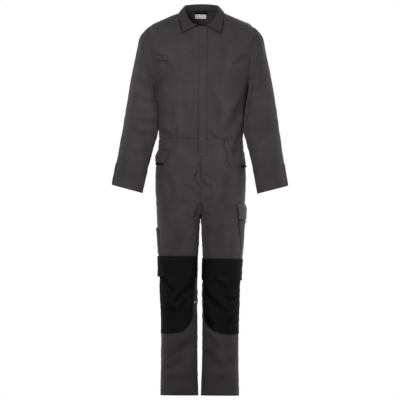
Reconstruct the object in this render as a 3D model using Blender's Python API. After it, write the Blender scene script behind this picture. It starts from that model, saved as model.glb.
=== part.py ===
"""A work boiler suit, filled out as if worn, with nobody in it.

Metres, +Z up. The front faces -Y and the wearer's left is +X. The origin is where the suit hangs on
the wearer: between the shoulders, level with the sides of the neck.

Every panel is first laid out as a grid of points on one shared skin, so that neighbouring panels share
the points of their seam. A panel is then the skin's faces given the thickness of its cloth, drawn back
a hair from each seam. Pockets, flaps, tabs and loops are cut from the same skin and moved outwards.
"""

from collections import namedtuple
from math import acos, asin, cos, exp, pi, radians, sin

import bmesh
import bpy
from mathutils import Vector

# Cloth and seams
CLOTH = 0.0012
SEAM_PULL = 0.0002
LAYER_GAP = 0.0003
ROUNDNESS = 2.3
LEAST_LEAN = 0.5
SHARP_ANGLE = radians(50)
BEYOND = 0.3

# Heights of the main seams
WAIST = -0.531
CROTCH = -0.8585
HEM = -1.6215

# Armhole: an oval in an almost upright plane
ARM_TOP = (0.2284, -0.060)
ARM_FOOT = (0.200, -0.315)
ARM_HALF_DEPTH = 0.078
ARM_HOLLOW = 0.006
YOKE_FRONT_TURN = radians(14.4)
YOKE_BACK_TURN = radians(51.7)

# Front neck point, and where the yoke's front seam leaves the neck
NECK_FRONT = -0.053
NECK_CORNER = (0.080, -0.0225)

# How far round from the centre each line of the grid lies; the first five reach the neck's corner
ACROSS = (0.0, 0.11, 0.22, 0.32, 0.42, 0.53, 0.65, 0.77, 0.88, 1.0)
NECK_LINES = 5

TorsoRow = namedtuple("TorsoRow", "z half_width front back")
TORSO = (
    TorsoRow(0.0300, 0.030, 0.030, 0.050),
    TorsoRow(0.0150, 0.066, 0.050, 0.072),
    TorsoRow(0.0050, 0.091, 0.062, 0.080),
    TorsoRow(-0.0085, 0.125, 0.072, 0.086),
    TorsoRow(-0.0255, 0.164, 0.081, 0.093),
    TorsoRow(-0.0425, 0.202, 0.090, 0.099),
    TorsoRow(-0.0600, 0.2284, 0.098, 0.105),
    TorsoRow(-0.1200, 0.2284, 0.122, 0.122),
    TorsoRow(-0.2000, 0.2250, 0.139, 0.134),
    TorsoRow(-0.3150, 0.2000, 0.144, 0.130),
    TorsoRow(-0.3950, 0.1890, 0.138, 0.117),
    TorsoRow(-0.4600, 0.1835, 0.131, 0.108),
    TorsoRow(WAIST, 0.1780, 0.125, 0.105),
)
# The shoulders' top is looked for between the table's first row and this height
RIDGE_FLOOR = -0.20
HALVINGS = 40
SLOPE_STEP = 0.001
UPPER_ROWS = (WAIST, -0.500, -0.465, -0.430, -0.392, -0.354, ARM_FOOT[1])
FRONT_ARM_ROWS = 8
BACK_ARM_ROWS = 6
YOKE_ROWS = 4
# The sleeve's back seam runs down from the yoke's back seam: this many lines round from the under-arm
SLEEVE_SEAM_LINE = FRONT_ARM_ROWS + YOKE_ROWS

# The neck seam behind the yoke's front corner, from the centre back round to the side
NeckRow = namedtuple("NeckRow", "x y")
NECK_BACK = (NeckRow(0.0, 0.072), NeckRow(0.040, 0.061), NeckRow(0.070, 0.030), NeckRow(0.0825, -0.020))
NECK_FRONT_X = (0.0, 0.022, 0.044, 0.065)
NECK_FRONT_Z = (NECK_FRONT, -0.0525, -0.049, -0.039)

# One trouser leg, wearer's left: above the crotch the inner side runs past the centre line and is cut
LegRow = namedtuple("LegRow", "z outer inner front back middle")
LEG = (
    LegRow(WAIST, 0.1780, -0.1780, 0.125, 0.105, 0.000),
    LegRow(-0.5865, 0.1810, -0.1810, 0.127, 0.122, 0.000),
    LegRow(-0.6375, 0.1875, -0.1875, 0.130, 0.138, 0.000),
    LegRow(-0.7055, 0.1920, -0.1920, 0.130, 0.147, 0.000),
    LegRow(-0.7650, 0.1910, -0.1910, 0.126, 0.145, 0.000),
    LegRow(-0.7970, 0.1890, -0.1080, 0.122, 0.140, 0.001),
    LegRow(-0.8220, 0.1880, -0.0480, 0.119, 0.134, 0.002),
    LegRow(-0.8420, 0.1875, -0.0150, 0.116, 0.128, 0.003),
    LegRow(CROTCH, 0.1870, 0.0000, 0.113, 0.124, 0.004),
    LegRow(-0.8925, 0.1850, 0.0030, 0.108, 0.117, 0.006),
    LegRow(-0.9605, 0.1830, 0.0065, 0.102, 0.108, 0.008),
    LegRow(-1.0300, 0.1790, 0.0095, 0.096, 0.099, 0.008),
    LegRow(-1.1090, 0.1710, 0.0110, 0.090, 0.091, 0.006),
    LegRow(-1.1900, 0.1690, 0.0115, 0.086, 0.087, 0.006),
    LegRow(-1.3345, 0.1640, 0.0100, 0.080, 0.086, 0.010),
    LegRow(-1.4705, 0.1640, 0.0095, 0.070, 0.080, 0.014),
    LegRow(-1.5700, 0.1660, 0.0070, 0.064, 0.073, 0.016),
    LegRow(HEM, 0.1675, 0.0050, 0.062, 0.070, 0.016),
)
LEG_ROWS = (
    WAIST, -0.560, -0.595, -0.637, -0.680, -0.724, -0.765, -0.797, -0.822, -0.840, -0.852, CROTCH,
    -0.880, -0.917, -0.955, -0.995, -1.032, -1.070, -1.108, -1.145, -1.185, -1.225, -1.265, -1.308,
    -1.356, -1.405, -1.455, -1.510, -1.565, HEM,
)

# The sleeve's rings, each spanned by its outer and inner point and its half depth front to back
SleeveRing = namedtuple("SleeveRing", "outer_x outer_z inner_x inner_z half_depth middle")
SLEEVE = (
    SleeveRing(0.2565, -0.0895, 0.2040, -0.3260, 0.083, -0.001),
    SleeveRing(0.2680, -0.1260, 0.2030, -0.3400, 0.086, -0.005),
    SleeveRing(0.2785, -0.1800, 0.1990, -0.3600, 0.086, -0.012),
    SleeveRing(0.2910, -0.2380, 0.1945, -0.3860, 0.083, -0.019),
    SleeveRing(0.3040, -0.3060, 0.1895, -0.4180, 0.079, -0.025),
    SleeveRing(0.3125, -0.3560, 0.1865, -0.4450, 0.076, -0.028),
    SleeveRing(0.3205, -0.4060, 0.1845, -0.4780, 0.074, -0.030),
    SleeveRing(0.3280, -0.4560, 0.1850, -0.5120, 0.071, -0.032),
    SleeveRing(0.3355, -0.5060, 0.1945, -0.5480, 0.068, -0.034),
    SleeveRing(0.3425, -0.5480, 0.2045, -0.5840, 0.065, -0.036),
    SleeveRing(0.3495, -0.5900, 0.2145, -0.6240, 0.062, -0.039),
    SleeveRing(0.3560, -0.6310, 0.2235, -0.6640, 0.058, -0.042),
    SleeveRing(0.3650, -0.6800, 0.2335, -0.7120, 0.053, -0.046),
    SleeveRing(0.3730, -0.7290, 0.2440, -0.7630, 0.049, -0.050),
)
CUFF_RINGS = 2
# How far outwards each cuff swings; the swing starts at this ring and grows evenly down to the cuff
SLEEVE_SWING = {"left": -0.004, "right": 0.004}
SWING_RING = 8

# The largest folds: where each runs on the front or back, how wide it is and how deep it sinks
Fold = namedtuple("Fold", "side x1 z1 x2 z2 width depth")
FOLDS = (
    Fold("front", 0.185, -0.395, 0.115, -0.500, 0.020, 0.006),
    Fold("front", -0.180, -0.300, -0.160, -0.420, 0.018, 0.004),
    Fold("front", -0.175, -0.492, -0.120, -0.527, 0.016, 0.004),
    Fold("front", -0.030, -1.145, -0.105, -1.215, 0.015, 0.006),
    Fold("front", -0.035, -1.190, -0.090, -1.255, 0.014, 0.004),
    Fold("front", 0.022, -1.160, 0.105, -1.262, 0.015, 0.006),
    Fold("front", 0.110, -1.150, 0.165, -1.195, 0.014, 0.004),
    Fold("front", -0.010, -0.640, -0.022, -0.760, 0.014, 0.005),
    Fold("front", 0.012, -0.700, 0.036, -0.800, 0.014, 0.004),
    Fold("back", -0.120, -0.780, -0.040, -0.870, 0.018, 0.006),
    Fold("back", 0.120, -0.780, 0.040, -0.870, 0.018, 0.006),
    Fold("back", -0.155, -1.150, -0.060, -1.185, 0.018, 0.005),
    Fold("back", 0.155, -1.155, 0.060, -1.190, 0.018, 0.005),
    Fold("back", -0.150, -0.440, -0.050, -0.500, 0.020, 0.006),
    Fold("back", 0.150, -0.445, 0.050, -0.500, 0.020, 0.006),
)

# Half of the collar, by the point of the neck seam it rises from, counted from the collar's front end
# round to the centre back: where the fold is, and where the outer edge lies over the shoulders
CollarRow = namedtuple("CollarRow", "seam_point fold_x fold_y fold_z edge_x edge_y")
COLLAR = (
    CollarRow(0, 0.0240, -0.099, -0.0470, 0.0800, -0.1030),
    CollarRow(1, 0.0390, -0.091, -0.0400, 0.0840, -0.0945),
    CollarRow(2, 0.0530, -0.077, -0.0250, 0.0880, -0.0850),
    CollarRow(3, 0.0630, -0.055, -0.0040, 0.0915, -0.0710),
    CollarRow(4, 0.0715, -0.020, 0.0200, 0.0955, -0.0300),
    CollarRow(5, 0.0715, 0.016, 0.0345, 0.0900, 0.0380),
    CollarRow(6, 0.0420, 0.049, 0.0395, 0.0540, 0.0830),
    CollarRow(7, 0.0000, 0.061, 0.0410, 0.0000, 0.0885),
)
COLLAR_STEPS = 2
COLLAR_EDGE_LIFT = 0.0035
COLLAR_FALL_BULGE = 0.003
COLLAR_FOLD_RADIUS = 0.0022
COLLAR_BASE_RISE = 0.0006

# Pockets, flaps, loops and tabs, by where their edges lie
PLACKET_X = (-0.0100, 0.0235)
PLACKET_Z = (-0.603, -0.0545)
CHEST_LOOP_X = (-0.197, -0.146)
CHEST_LOOP_Z = (-0.1985, -0.1805)
WAIST_LOOP_X = (0.0995, 0.1265)
WAIST_LOOP_Z = (-0.583, -0.5372)
LOOP_STAND_OFF = 0.003

HipPocket = namedtuple("HipPocket", "mouth_x top corner_z bottom corner_reach stand_off tack_x")
HIP_POCKETS = {
    "left": HipPocket(0.112, -0.585, -0.626, -0.650, 0.026, 0.002, 0.166),
    "right": HipPocket(0.138, -0.580, -0.616, -0.6375, 0.020, 0.008, 0.158),
}
HIP_SIDE_X = 0.185
TACK_HEIGHT = 0.009
TACK_BACK_Y = 0.014

THIGH_SIDE_X = 0.100
# The cargo pocket's front edge, seen from the front: its x at the pocket's top and at its foot
CARGO_FRONT_X = (0.158, 0.168)
CARGO_BACK_Y = 0.085
CARGO_Z = (-0.999, -0.835)
CARGO_MOUTH = 0.0045
CARGO_FLAP_Z = (-0.869, -0.805)
CARGO_FLAP_STAND_OFF = 0.0070
CARGO_FLAP_SETTLE_Z = -0.823
FLAP_MARGIN = 0.003
CARGO_TAB_Z = (-0.888, -0.8695)
CARGO_TAB_HALF_WIDTH = 0.014
RULE_Y = (-0.045, 0.070)
RULE_Z = (-1.020, -0.9165)
RULE_MOUTH = 0.0050

# flap_inner is how near the flap comes to the inseam; corner runs down the pocket's inner edge
KneePocket = namedtuple("KneePocket", "top flap_foot flap_flare flap_inner pocket_top foot corner")
KNEES = {
    "left": KneePocket(-1.0370, -1.1320, 0.003, 0.0110, -1.070, -1.359, (
        (0.018, -1.283), (0.025, -1.309), (0.038, -1.330), (0.061, -1.349), (0.088, -1.357), (0.116, -1.359),
    )),
    "right": KneePocket(-1.0290, -1.1160, 0.006, 0.0180, -1.065, -1.357, (
        (0.0225, -1.065), (0.032, -1.288), (0.040, -1.311), (0.053, -1.331), (0.071, -1.349),
        (0.090, -1.355), (0.112, -1.357),
    )),
}
KNEE_WRAP_Y = 0.012
KNEE_FLARE_X = (0.120, 0.172)
FLAP_OVER = LAYER_GAP * 2 + CLOTH

INSEAM_TAB_REACH = {"left": 0.0165, "right": 0.0280}
INSEAM_TAB_Z = (-1.2285, -1.2197)
INSEAM_TAB_DEEP = -0.058

CUFF_TAB_X = 0.315
CUFF_TAB_Y = (-0.064, -0.018)
CUFF_TAB_MARGIN = 0.005
CUFF_LIFT = 0.0006

LABEL_CLOTH = 0.0008
BLACK_LABEL_HALF_WIDTH = 0.0297
BLACK_LABEL_Z = (-0.002, 0.0105)
WHITE_LABEL_HALF_WIDTH = 0.0238
WHITE_LABEL_Z = (-0.019, 0.0095)

Paint = namedtuple("Paint", "colour roughness")
MATERIALS = {
    "charcoal_twill": Paint((0.050, 0.047, 0.047, 1.0), 0.85),
    "black_cordura": Paint((0.008, 0.008, 0.008, 1.0), 0.75),
    "white_label": Paint((0.80, 0.80, 0.80, 1.0), 0.6),
    "black_label": Paint((0.010, 0.010, 0.010, 1.0), 0.5),
    "grey_reflective": Paint((0.42, 0.42, 0.42, 1.0), 0.35),
}


# ---------------------------------------------------------------- curves through the tables

def read(table, column, at):
    """One column's value where the first column is `at`, on a smooth curve with no overshoot."""
    rows = sorted(table)
    places = [row[0] for row in rows]
    values = [getattr(row, column) for row in rows]
    at = min(max(at, places[0]), places[-1])
    steps = [(values[i + 1] - values[i]) / (places[i + 1] - places[i]) for i in range(len(rows) - 1)]
    place = max(i for i in range(len(steps)) if places[i] <= at)

    def slope(i):
        if i == 0 or i == len(steps):
            return steps[0] if i == 0 else steps[-1]
        before, after = steps[i - 1], steps[i]
        return 0.0 if before * after <= 0.0 else 2.0 * before * after / (before + after)

    span = places[place + 1] - places[place]
    t = (at - places[place]) / span
    start, end = values[place], values[place + 1]
    rise = (t * (1 - t) ** 2 * slope(place) - t * t * (1 - t) * slope(place + 1)) * span
    return start + (end - start) * t * t * (3 - 2 * t) + rise


def arc(ratio):
    """Height of a rounded-square arc of unit size at this distance from its middle."""
    return max(0.0, 1.0 - abs(ratio) ** ROUNDNESS) ** (1.0 / ROUNDNESS)


def mix(a, b, t):
    return a + (b - a) * t


# ---------------------------------------------------------------- the torso's surface

def armhole_turn(z):
    """Angle round the armhole, 0 at the shoulder and pi at its foot, at this height."""
    middle = (ARM_TOP[1] + ARM_FOOT[1]) / 2
    reach = (ARM_TOP[1] - ARM_FOOT[1]) / 2
    return acos(min(1.0, max(-1.0, (z - middle) / reach)))


def armhole_height(turn):
    return mix(ARM_FOOT[1], ARM_TOP[1], (1 + cos(turn)) / 2)


def armhole_x(z):
    t = (z - ARM_FOOT[1]) / (ARM_TOP[1] - ARM_FOOT[1])
    return mix(ARM_FOOT[0], ARM_TOP[0], t) - ARM_HOLLOW * sin(pi * t)


def armhole_point(turn, front):
    z = armhole_height(turn)
    depth = ARM_HALF_DEPTH * sin(turn)
    return Vector((armhole_x(z), -depth if front else depth, z))


def in_armhole(z):
    return ARM_FOOT[1] < z < ARM_TOP[1]


def reach_across(z, column):
    """Half width of the whole oval at this height, wide enough to pass through the armhole's edge."""
    if not in_armhole(z):
        return read(TORSO, "half_width", z)
    depth = read(TORSO, column, z)
    edge = ARM_HALF_DEPTH * sin(armhole_turn(z))
    return armhole_x(z) / arc(edge / depth)


def edge_x(z):
    return armhole_x(z) if in_armhole(z) else read(TORSO, "half_width", z)


def torso_point(x, z, front):
    column = "front" if front else "back"
    depth = read(TORSO, column, z) * arc(x / reach_across(z, column))
    return Vector((x, -depth if front else depth, z))


def ridge_point(x, y):
    """The point of the shoulders' top over (x, y), found by halving the height it can lie in."""
    column = "front" if y < 0 else "back"
    low, high = RIDGE_FLOOR, TORSO[0].z
    for _ in range(HALVINGS):
        z = (low + high) / 2
        depth = read(TORSO, column, z) * arc(x / reach_across(z, column))
        inside = x < reach_across(z, column) and abs(y) < depth
        low, high = (z, high) if inside else (low, z)
    return Vector((x, y, low))


# ---------------------------------------------------------------- the grids of the panels

def front_top():
    """Across the top of a front: round the neck, then along the yoke's front seam to the armhole."""
    end = armhole_point(YOKE_FRONT_TURN, True)
    points = []
    for i, s in enumerate(ACROSS):
        if i < NECK_LINES - 1:
            points.append((NECK_FRONT_X[i], NECK_FRONT_Z[i]))
            continue
        t = (s - ACROSS[NECK_LINES - 1]) / (1 - ACROSS[NECK_LINES - 1])
        points.append((mix(NECK_CORNER[0], end.x, t), mix(NECK_CORNER[1], end.z, t)))
    return points


def upper_grid(front):
    """Rows of an upper front, or of half the back, from the waist to its top seam."""
    rows = [[torso_point(edge_x(z) * sin(s * pi / 2), z, front) for s in ACROSS] for z in UPPER_ROWS]
    top_turn = YOKE_FRONT_TURN if front else YOKE_BACK_TURN
    count = FRONT_ARM_ROWS if front else BACK_ARM_ROWS
    foot = ARM_FOOT[1]
    top_z = armhole_height(top_turn)
    tops = front_top() if front else [(sin(s * pi / 2) * edge_x(top_z), top_z) for s in ACROSS]
    for j in range(1, count + 1):
        turn = mix(pi, top_turn, j / count)
        h = (armhole_height(turn) - foot) / (top_z - foot)
        row = []
        for s, (x_top, z_top) in zip(ACROSS, tops):
            z = mix(foot, z_top, h)
            share = mix(sin(s * pi / 2), x_top / edge_x(z_top), h)
            row.append(torso_point(edge_x(z) * share, z, front))
        row[-1] = armhole_point(turn, front)
        rows.append(row)
    return rows


def yoke_grid(front_seam, back_seam):
    """Rows of half the yoke, from the neck and the front seam over the shoulder to the back seam."""
    neck = [ridge_point(row.x, row.y) for row in NECK_BACK]
    start = neck + front_seam[NECK_LINES - 1:]
    rows = [start]
    for j in range(1, YOKE_ROWS):
        t = j / YOKE_ROWS
        row = []
        for first, last in zip(start, back_seam):
            row.append(ridge_point(mix(first.x, last.x, t), mix(first.y, last.y, t)))
        turn = mix(-YOKE_FRONT_TURN, YOKE_BACK_TURN, t)
        row[-1] = armhole_point(abs(turn), turn < 0)
        rows.append(row)
    rows.append(back_seam)
    return rows


def leg_grid(front):
    """Rows of one trouser panel, from its centre seam and inseam out to its outer seam."""
    rows = []
    for z in LEG_ROWS:
        outer, inner = read(LEG, "outer", z), read(LEG, "inner", z)
        depth = read(LEG, "front" if front else "back", z)
        middle = read(LEG, "middle", z)
        centre, half = (outer + inner) / 2, (outer - inner) / 2
        split = min(1.0, centre / half)
        row = []
        for s in ACROSS:
            q = sin(mix(asin(-split), pi / 2, s))
            y = depth * arc(q)
            x = max(0.0, centre + half * q)
            row.append(Vector((x, middle - y if front else middle + y, z)))
        rows.append(row)
    return rows


def sleeve_grid(swing):
    """Rings of the sleeve from the armhole down; each runs from its foot round the front to the top."""
    front = [mix(pi, YOKE_FRONT_TURN, j / FRONT_ARM_ROWS) for j in range(FRONT_ARM_ROWS + 1)]
    over = [mix(-YOKE_FRONT_TURN, YOKE_BACK_TURN, j / YOKE_ROWS) for j in range(1, YOKE_ROWS)]
    back = [mix(YOKE_BACK_TURN, pi, j / BACK_ARM_ROWS) for j in range(BACK_ARM_ROWS + 1)]
    turns = [(turn, True) for turn in front]
    turns += [(abs(turn), turn < 0) for turn in over]
    turns += [(turn, False) for turn in back]
    rows = [[armhole_point(turn, is_front) for turn, is_front in turns]]
    for count, ring in enumerate(SLEEVE):
        row = []
        out = max(0, count - SWING_RING) / (len(SLEEVE) - 1 - SWING_RING)
        for turn, is_front in turns:
            t = (1 + cos(turn)) / 2
            y = ring.half_depth * sin(turn)
            x = mix(ring.inner_x, ring.outer_x, t) + swing * out
            z = mix(ring.inner_z, ring.outer_z, t)
            row.append(Vector((x, ring.middle - y if is_front else ring.middle + y, z)))
        rows.append(row)
    return rows


def mirrored(grid):
    return [[Vector((-p.x, p.y, p.z)) for p in row] for row in grid]


def both_halves(grid):
    """One grid across the whole width from the grid of its left half."""
    return [[Vector((-p.x, p.y, p.z)) for p in reversed(row[1:])] + list(row) for row in grid]


# ---------------------------------------------------------------- the shared skin

skin_points = []
skin_index = {}
skin_faces = {}


def skin_point(point):
    key = tuple(round(value * 1e6) for value in point)
    if key not in skin_index:
        skin_index[key] = len(skin_points)
        skin_points.append(point.copy())
    return skin_index[key]


def lay(name, grid, flip):
    """Add a panel's grid to the skin as triangles whose outer side faces out."""
    numbers = [[skin_point(p) for p in row] for row in grid]
    faces = []
    for low, high in zip(numbers, numbers[1:]):
        for i in range(len(low) - 1):
            for face in ((low[i], low[i + 1], high[i + 1]), (low[i], high[i + 1], high[i])):
                if len(set(face)) == 3:
                    faces.append(tuple(reversed(face)) if flip else face)
    skin_faces[name] = faces


def sink_folds():
    """Press the largest folds into the skin, each deepest along its middle."""
    for point in skin_points:
        for fold in FOLDS:
            if (point.y < 0) != (fold.side == "front"):
                continue
            start = Vector((fold.x1, fold.z1))
            run = Vector((fold.x2, fold.z2)) - start
            here = Vector((point.x, point.z)) - start
            t = min(1.0, max(0.0, here.dot(run) / run.length_squared))
            away = (here - run * t).length / fold.width
            sink = fold.depth * exp(-away * away)
            point.y += sink if fold.side == "front" else -sink


def skin_normals(names):
    """Outward direction at each point of these panels, from the faces round it."""
    normals = {}
    for name in names:
        for face in skin_faces[name]:
            a, b, c = (skin_points[i] for i in face)
            across = (b - a).cross(c - a)
            for i in face:
                normals[i] = normals.get(i, Vector()) + across
    return {i: normal.normalized() for i, normal in normals.items()}


# ---------------------------------------------------------------- solids

def material(name):
    if name in bpy.data.materials:
        return bpy.data.materials[name]
    made = bpy.data.materials.new(name)
    made.use_nodes = True
    shader = made.node_tree.nodes["Principled BSDF"]
    shader.inputs["Base Color"].default_value = MATERIALS[name].colour
    shader.inputs["Roughness"].default_value = MATERIALS[name].roughness
    shader.inputs["Metallic"].default_value = 0.0
    made.diffuse_color = MATERIALS[name].colour
    return made


def solid(name, outer, inner, faces, material_name):
    """Close two matching sheets into one wall, with a strip of faces round every free edge."""
    count = len(outer)
    sides = {}
    for face in faces:
        for a, b in zip(face, face[1:] + face[:1]):
            sides[(a, b)] = (a, b)
    strips = []
    for a, b in sides:
        if (b, a) not in sides:
            strips.append((b, a, a + count))
            strips.append((b, a + count, b + count))
    under = [tuple(i + count for i in reversed(face)) for face in faces]
    mesh = bpy.data.meshes.new(name)
    mesh.from_pydata(list(outer) + list(inner), [], list(faces) + under + strips)
    mesh.validate()
    mesh.materials.append(material(material_name))
    mesh.shade_smooth()
    mesh.set_sharp_from_angle(angle=SHARP_ANGLE)
    made = bpy.data.objects.new(name, mesh)
    bpy.context.scene.collection.objects.link(made)
    return made


def inward(point, faces_round, points):
    """Direction from a point on a free edge towards the middle of the faces that touch it."""
    middle = Vector()
    for face in faces_round:
        middle += sum((points[i] for i in face), Vector()) / 3
    return (middle / len(faces_round) - point).normalized()


def panel(name, normals, lift=0.0, thickness=CLOTH, material_name="charcoal_twill"):
    """A panel's wall: its faces of the skin outside, the cloth's thickness within."""
    used = sorted({i for face in skin_faces[name] for i in face})
    place = {i: n for n, i in enumerate(used)}
    faces = [tuple(place[i] for i in face) for face in skin_faces[name]]
    points = [skin_points[i] for i in used]
    round_point = [[] for _ in used]
    edges = set()
    for face in faces:
        for i in face:
            round_point[i].append(face)
        for a, b in zip(face, face[1:] + face[:1]):
            edges.add((a, b))
    free = {i for a, b in edges if (b, a) not in edges for i in (a, b)}
    flat = {}
    for face in faces:
        a, b, c = (points[i] for i in face)
        across = (b - a).cross(c - a)
        for i in face:
            flat[i] = flat.get(i, Vector()) + across
    outer, inner = [], []
    for n, i in enumerate(used):
        point = points[n]
        if n in free:
            point = point + inward(point, round_point[n], points) * SEAM_PULL
        lean = max(LEAST_LEAN, normals[i].dot(flat[n].normalized()))
        outer.append(point + normals[i] * lift)
        inner.append(point - normals[i] * thickness / lean)
    return solid(name, outer, inner, faces, material_name)


def patch(name, over, cuts, lift, material_name="charcoal_twill", thickness=CLOTH):
    """Cloth lying on panels: their own faces, cut by planes, moved out by lift and given a wall.

    Each cut is a point on the plane and the direction of the side that is cut away.
    """
    shape = bmesh.new()
    corners = {}
    for panel_name in over:
        for face in skin_faces[panel_name]:
            for i in face:
                if i not in corners:
                    corners[i] = shape.verts.new(skin_points[i])
            shape.faces.new([corners[i] for i in face])
    for point, away in cuts:
        parts = shape.verts[:] + shape.edges[:] + shape.faces[:]
        bmesh.ops.bisect_plane(shape, geom=parts, dist=2e-4, plane_co=point, plane_no=away,
                               clear_outer=True)
    bmesh.ops.triangulate(shape, faces=shape.faces[:])
    shape.normal_update()
    shape.verts.index_update()
    rise = lift if callable(lift) else lambda point: lift
    inner = [v.co + v.normal * rise(v.co) for v in shape.verts]
    outer = [v.co + v.normal * (rise(v.co) + thickness) for v in shape.verts]
    faces = [tuple(v.index for v in face.verts) for face in shape.faces]
    shape.free()
    return solid(name, outer, inner, faces, material_name)


def bounds(x=None, y=None, z=None):
    """Planes that keep only what lies between each given pair of limits."""
    cuts = []
    for axis, pair in enumerate((x, y, z)):
        if pair is None:
            continue
        for limit, way in ((min(pair), -1), (max(pair), 1)):
            away = Vector((0, 0, 0))
            away[axis] = way
            point = Vector((0, 0, 0))
            point[axis] = limit
            cuts.append((point, away))
    return cuts


def slant(x1, z1, x2, z2, away_x, away_z):
    """A plane seen edge-on from the front, through two points, that cuts away the given side."""
    along = Vector((x2 - x1, 0, z2 - z1))
    away = Vector((-along.z, 0, along.x)).normalized()
    if away.dot(Vector((away_x, 0, away_z))) < 0:
        away = -away
    return (Vector((x1, 0, z1)), away)


# ---------------------------------------------------------------- the suit

def build_panels():
    front, back = upper_grid(True), upper_grid(False)
    yoke = yoke_grid(front[-1], back[-1])
    leg_front, leg_back = leg_grid(True), leg_grid(False)
    lay("front_left", front, False)
    lay("front_right", mirrored(front), True)
    lay("back", both_halves(back), True)
    lay("yoke", both_halves(yoke), False)
    for side, swing in SLEEVE_SWING.items():
        sleeve = sleeve_grid(swing) if side == "left" else mirrored(sleeve_grid(swing))
        upper = sleeve[:-CUFF_RINGS]
        lay(f"sleeve_front_{side}", [row[:SLEEVE_SEAM_LINE + 1] for row in upper], side == "left")
        lay(f"sleeve_back_{side}", [row[SLEEVE_SEAM_LINE:] for row in upper], side == "left")
        lay(f"cuff_{side}", sleeve[-CUFF_RINGS - 1:], side == "left")
    lay("leg_front_left", leg_front, True)
    lay("leg_front_right", mirrored(leg_front), False)
    lay("leg_back_left", leg_back, False)
    lay("leg_back_right", mirrored(leg_back), True)
    sink_folds()
    normals = skin_normals(skin_faces)
    for name in list(skin_faces):
        panel(name, normals, lift=CUFF_LIFT if name.startswith("cuff") else 0.0)
    return front[-1][1:NECK_LINES] + list(reversed(yoke[0][:NECK_LINES - 1]))


def over_shoulder(x, y, lift):
    """A point over the shoulders at (x, y), lifted off them along their outward direction."""
    step = SLOPE_STEP
    x = max(x, step * 2)
    across = ridge_point(x + step, y) - ridge_point(x - step, y)
    along = ridge_point(x, y + step) - ridge_point(x, y - step)
    return ridge_point(x, y) + across.cross(along).normalized() * lift


def build_collar(neck_seam):
    """One bent sheet: up from the neck seam, over the fold, and down to the outer edge."""
    half = []
    for count in range(COLLAR_STEPS * (len(COLLAR) - 1) + 1):
        place = count / COLLAR_STEPS
        before = min(int(place), len(neck_seam) - 2)
        seam = mix(neck_seam[before], neck_seam[before + 1], place - before)
        fold = Vector([read(COLLAR, column, place) for column in ("fold_x", "fold_y", "fold_z")])
        edge_x, edge_y = read(COLLAR, "edge_x", place), read(COLLAR, "edge_y", place)
        edge = over_shoulder(edge_x, edge_y, COLLAR_EDGE_LIFT)
        to_axis = Vector((-seam.x, -seam.y, 0.0)).normalized()
        base = seam + to_axis * CLOTH / 2 + Vector((0.0, 0.0, COLLAR_BASE_RISE))
        rise = (fold - base).normalized()
        away = ((edge - fold) - rise * (edge - fold).dot(rise)).normalized()
        inner_fold = fold - (rise + away) * COLLAR_FOLD_RADIUS
        outer_fold = fold - (rise - away) * COLLAR_FOLD_RADIUS
        fall = (outer_fold + edge) / 2 + away * COLLAR_FALL_BULGE
        half.append([base, (base + inner_fold) / 2, inner_fold, fold, outer_fold, fall, edge])
    for point in half[-1]:
        point.x = 0.0
    rows = [list(row) for row in zip(*half)]
    whole = [[Vector((-p.x, p.y, p.z)) for p in row[:-1]] + list(reversed(row)) for row in rows]
    sheet("collar", whole, CLOTH)


def sheet(name, grid, thickness, material_name="charcoal_twill"):
    """A wall of even thickness round the middle of a sheet of cloth laid out as a grid."""
    points, faces = [], []
    width = len(grid[0])
    for row in grid:
        points.extend(row)
    for j in range(len(grid) - 1):
        for i in range(width - 1):
            a, b = j * width + i, (j + 1) * width + i
            faces.append((a, a + 1, b + 1))
            faces.append((a, b + 1, b))
    normals = [Vector() for _ in points]
    for face in faces:
        a, b, c = (points[i] for i in face)
        for i in face:
            normals[i] += (b - a).cross(c - a)
    half = [normal.normalized() * thickness / 2 for normal in normals]
    outer = [point + shift for point, shift in zip(points, half)]
    inner = [point - shift for point, shift in zip(points, half)]
    solid(name, outer, inner, faces, material_name)


def build_labels():
    """Two bare labels hang inside the back of the neck, the black one over the white one."""
    depth = -(CLOTH + LAYER_GAP + LABEL_CLOTH)
    half = WHITE_LABEL_HALF_WIDTH
    cuts = bounds(x=(-half, half), z=WHITE_LABEL_Z) + bounds(y=(0.0, BEYOND))
    patch("care_label", ("yoke",), cuts, depth, "white_label", LABEL_CLOTH)
    half = BLACK_LABEL_HALF_WIDTH
    cuts = bounds(x=(-half, half), z=BLACK_LABEL_Z) + bounds(y=(0.0, BEYOND))
    depth -= LAYER_GAP + LABEL_CLOTH
    patch("neck_label", ("yoke",), cuts, depth, "black_label", LABEL_CLOTH)


def between(value, pair):
    """0 at the lower of two limits and 1 at the upper."""
    return min(1.0, max(0.0, (value - pair[0]) / (pair[1] - pair[0])))


def build_front_pieces():
    over = ("front_left", "front_right", "leg_front_left", "leg_front_right")
    patch("fly_placket", over, bounds(x=PLACKET_X, z=PLACKET_Z), LAYER_GAP)

    def chest_stand_off(point):
        return LAYER_GAP + LOOP_STAND_OFF * sin(pi * between(point.x, CHEST_LOOP_X))

    cuts = bounds(x=CHEST_LOOP_X, z=CHEST_LOOP_Z)
    patch("chest_loop", ("front_right",), cuts, chest_stand_off)

    def waist_stand_off(point):
        return LAYER_GAP + LOOP_STAND_OFF * sin(pi * between(point.z, WAIST_LOOP_Z))

    cuts = bounds(x=WAIST_LOOP_X, z=WAIST_LOOP_Z)
    patch("waist_loop", ("leg_front_left",), cuts, waist_stand_off)


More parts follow.
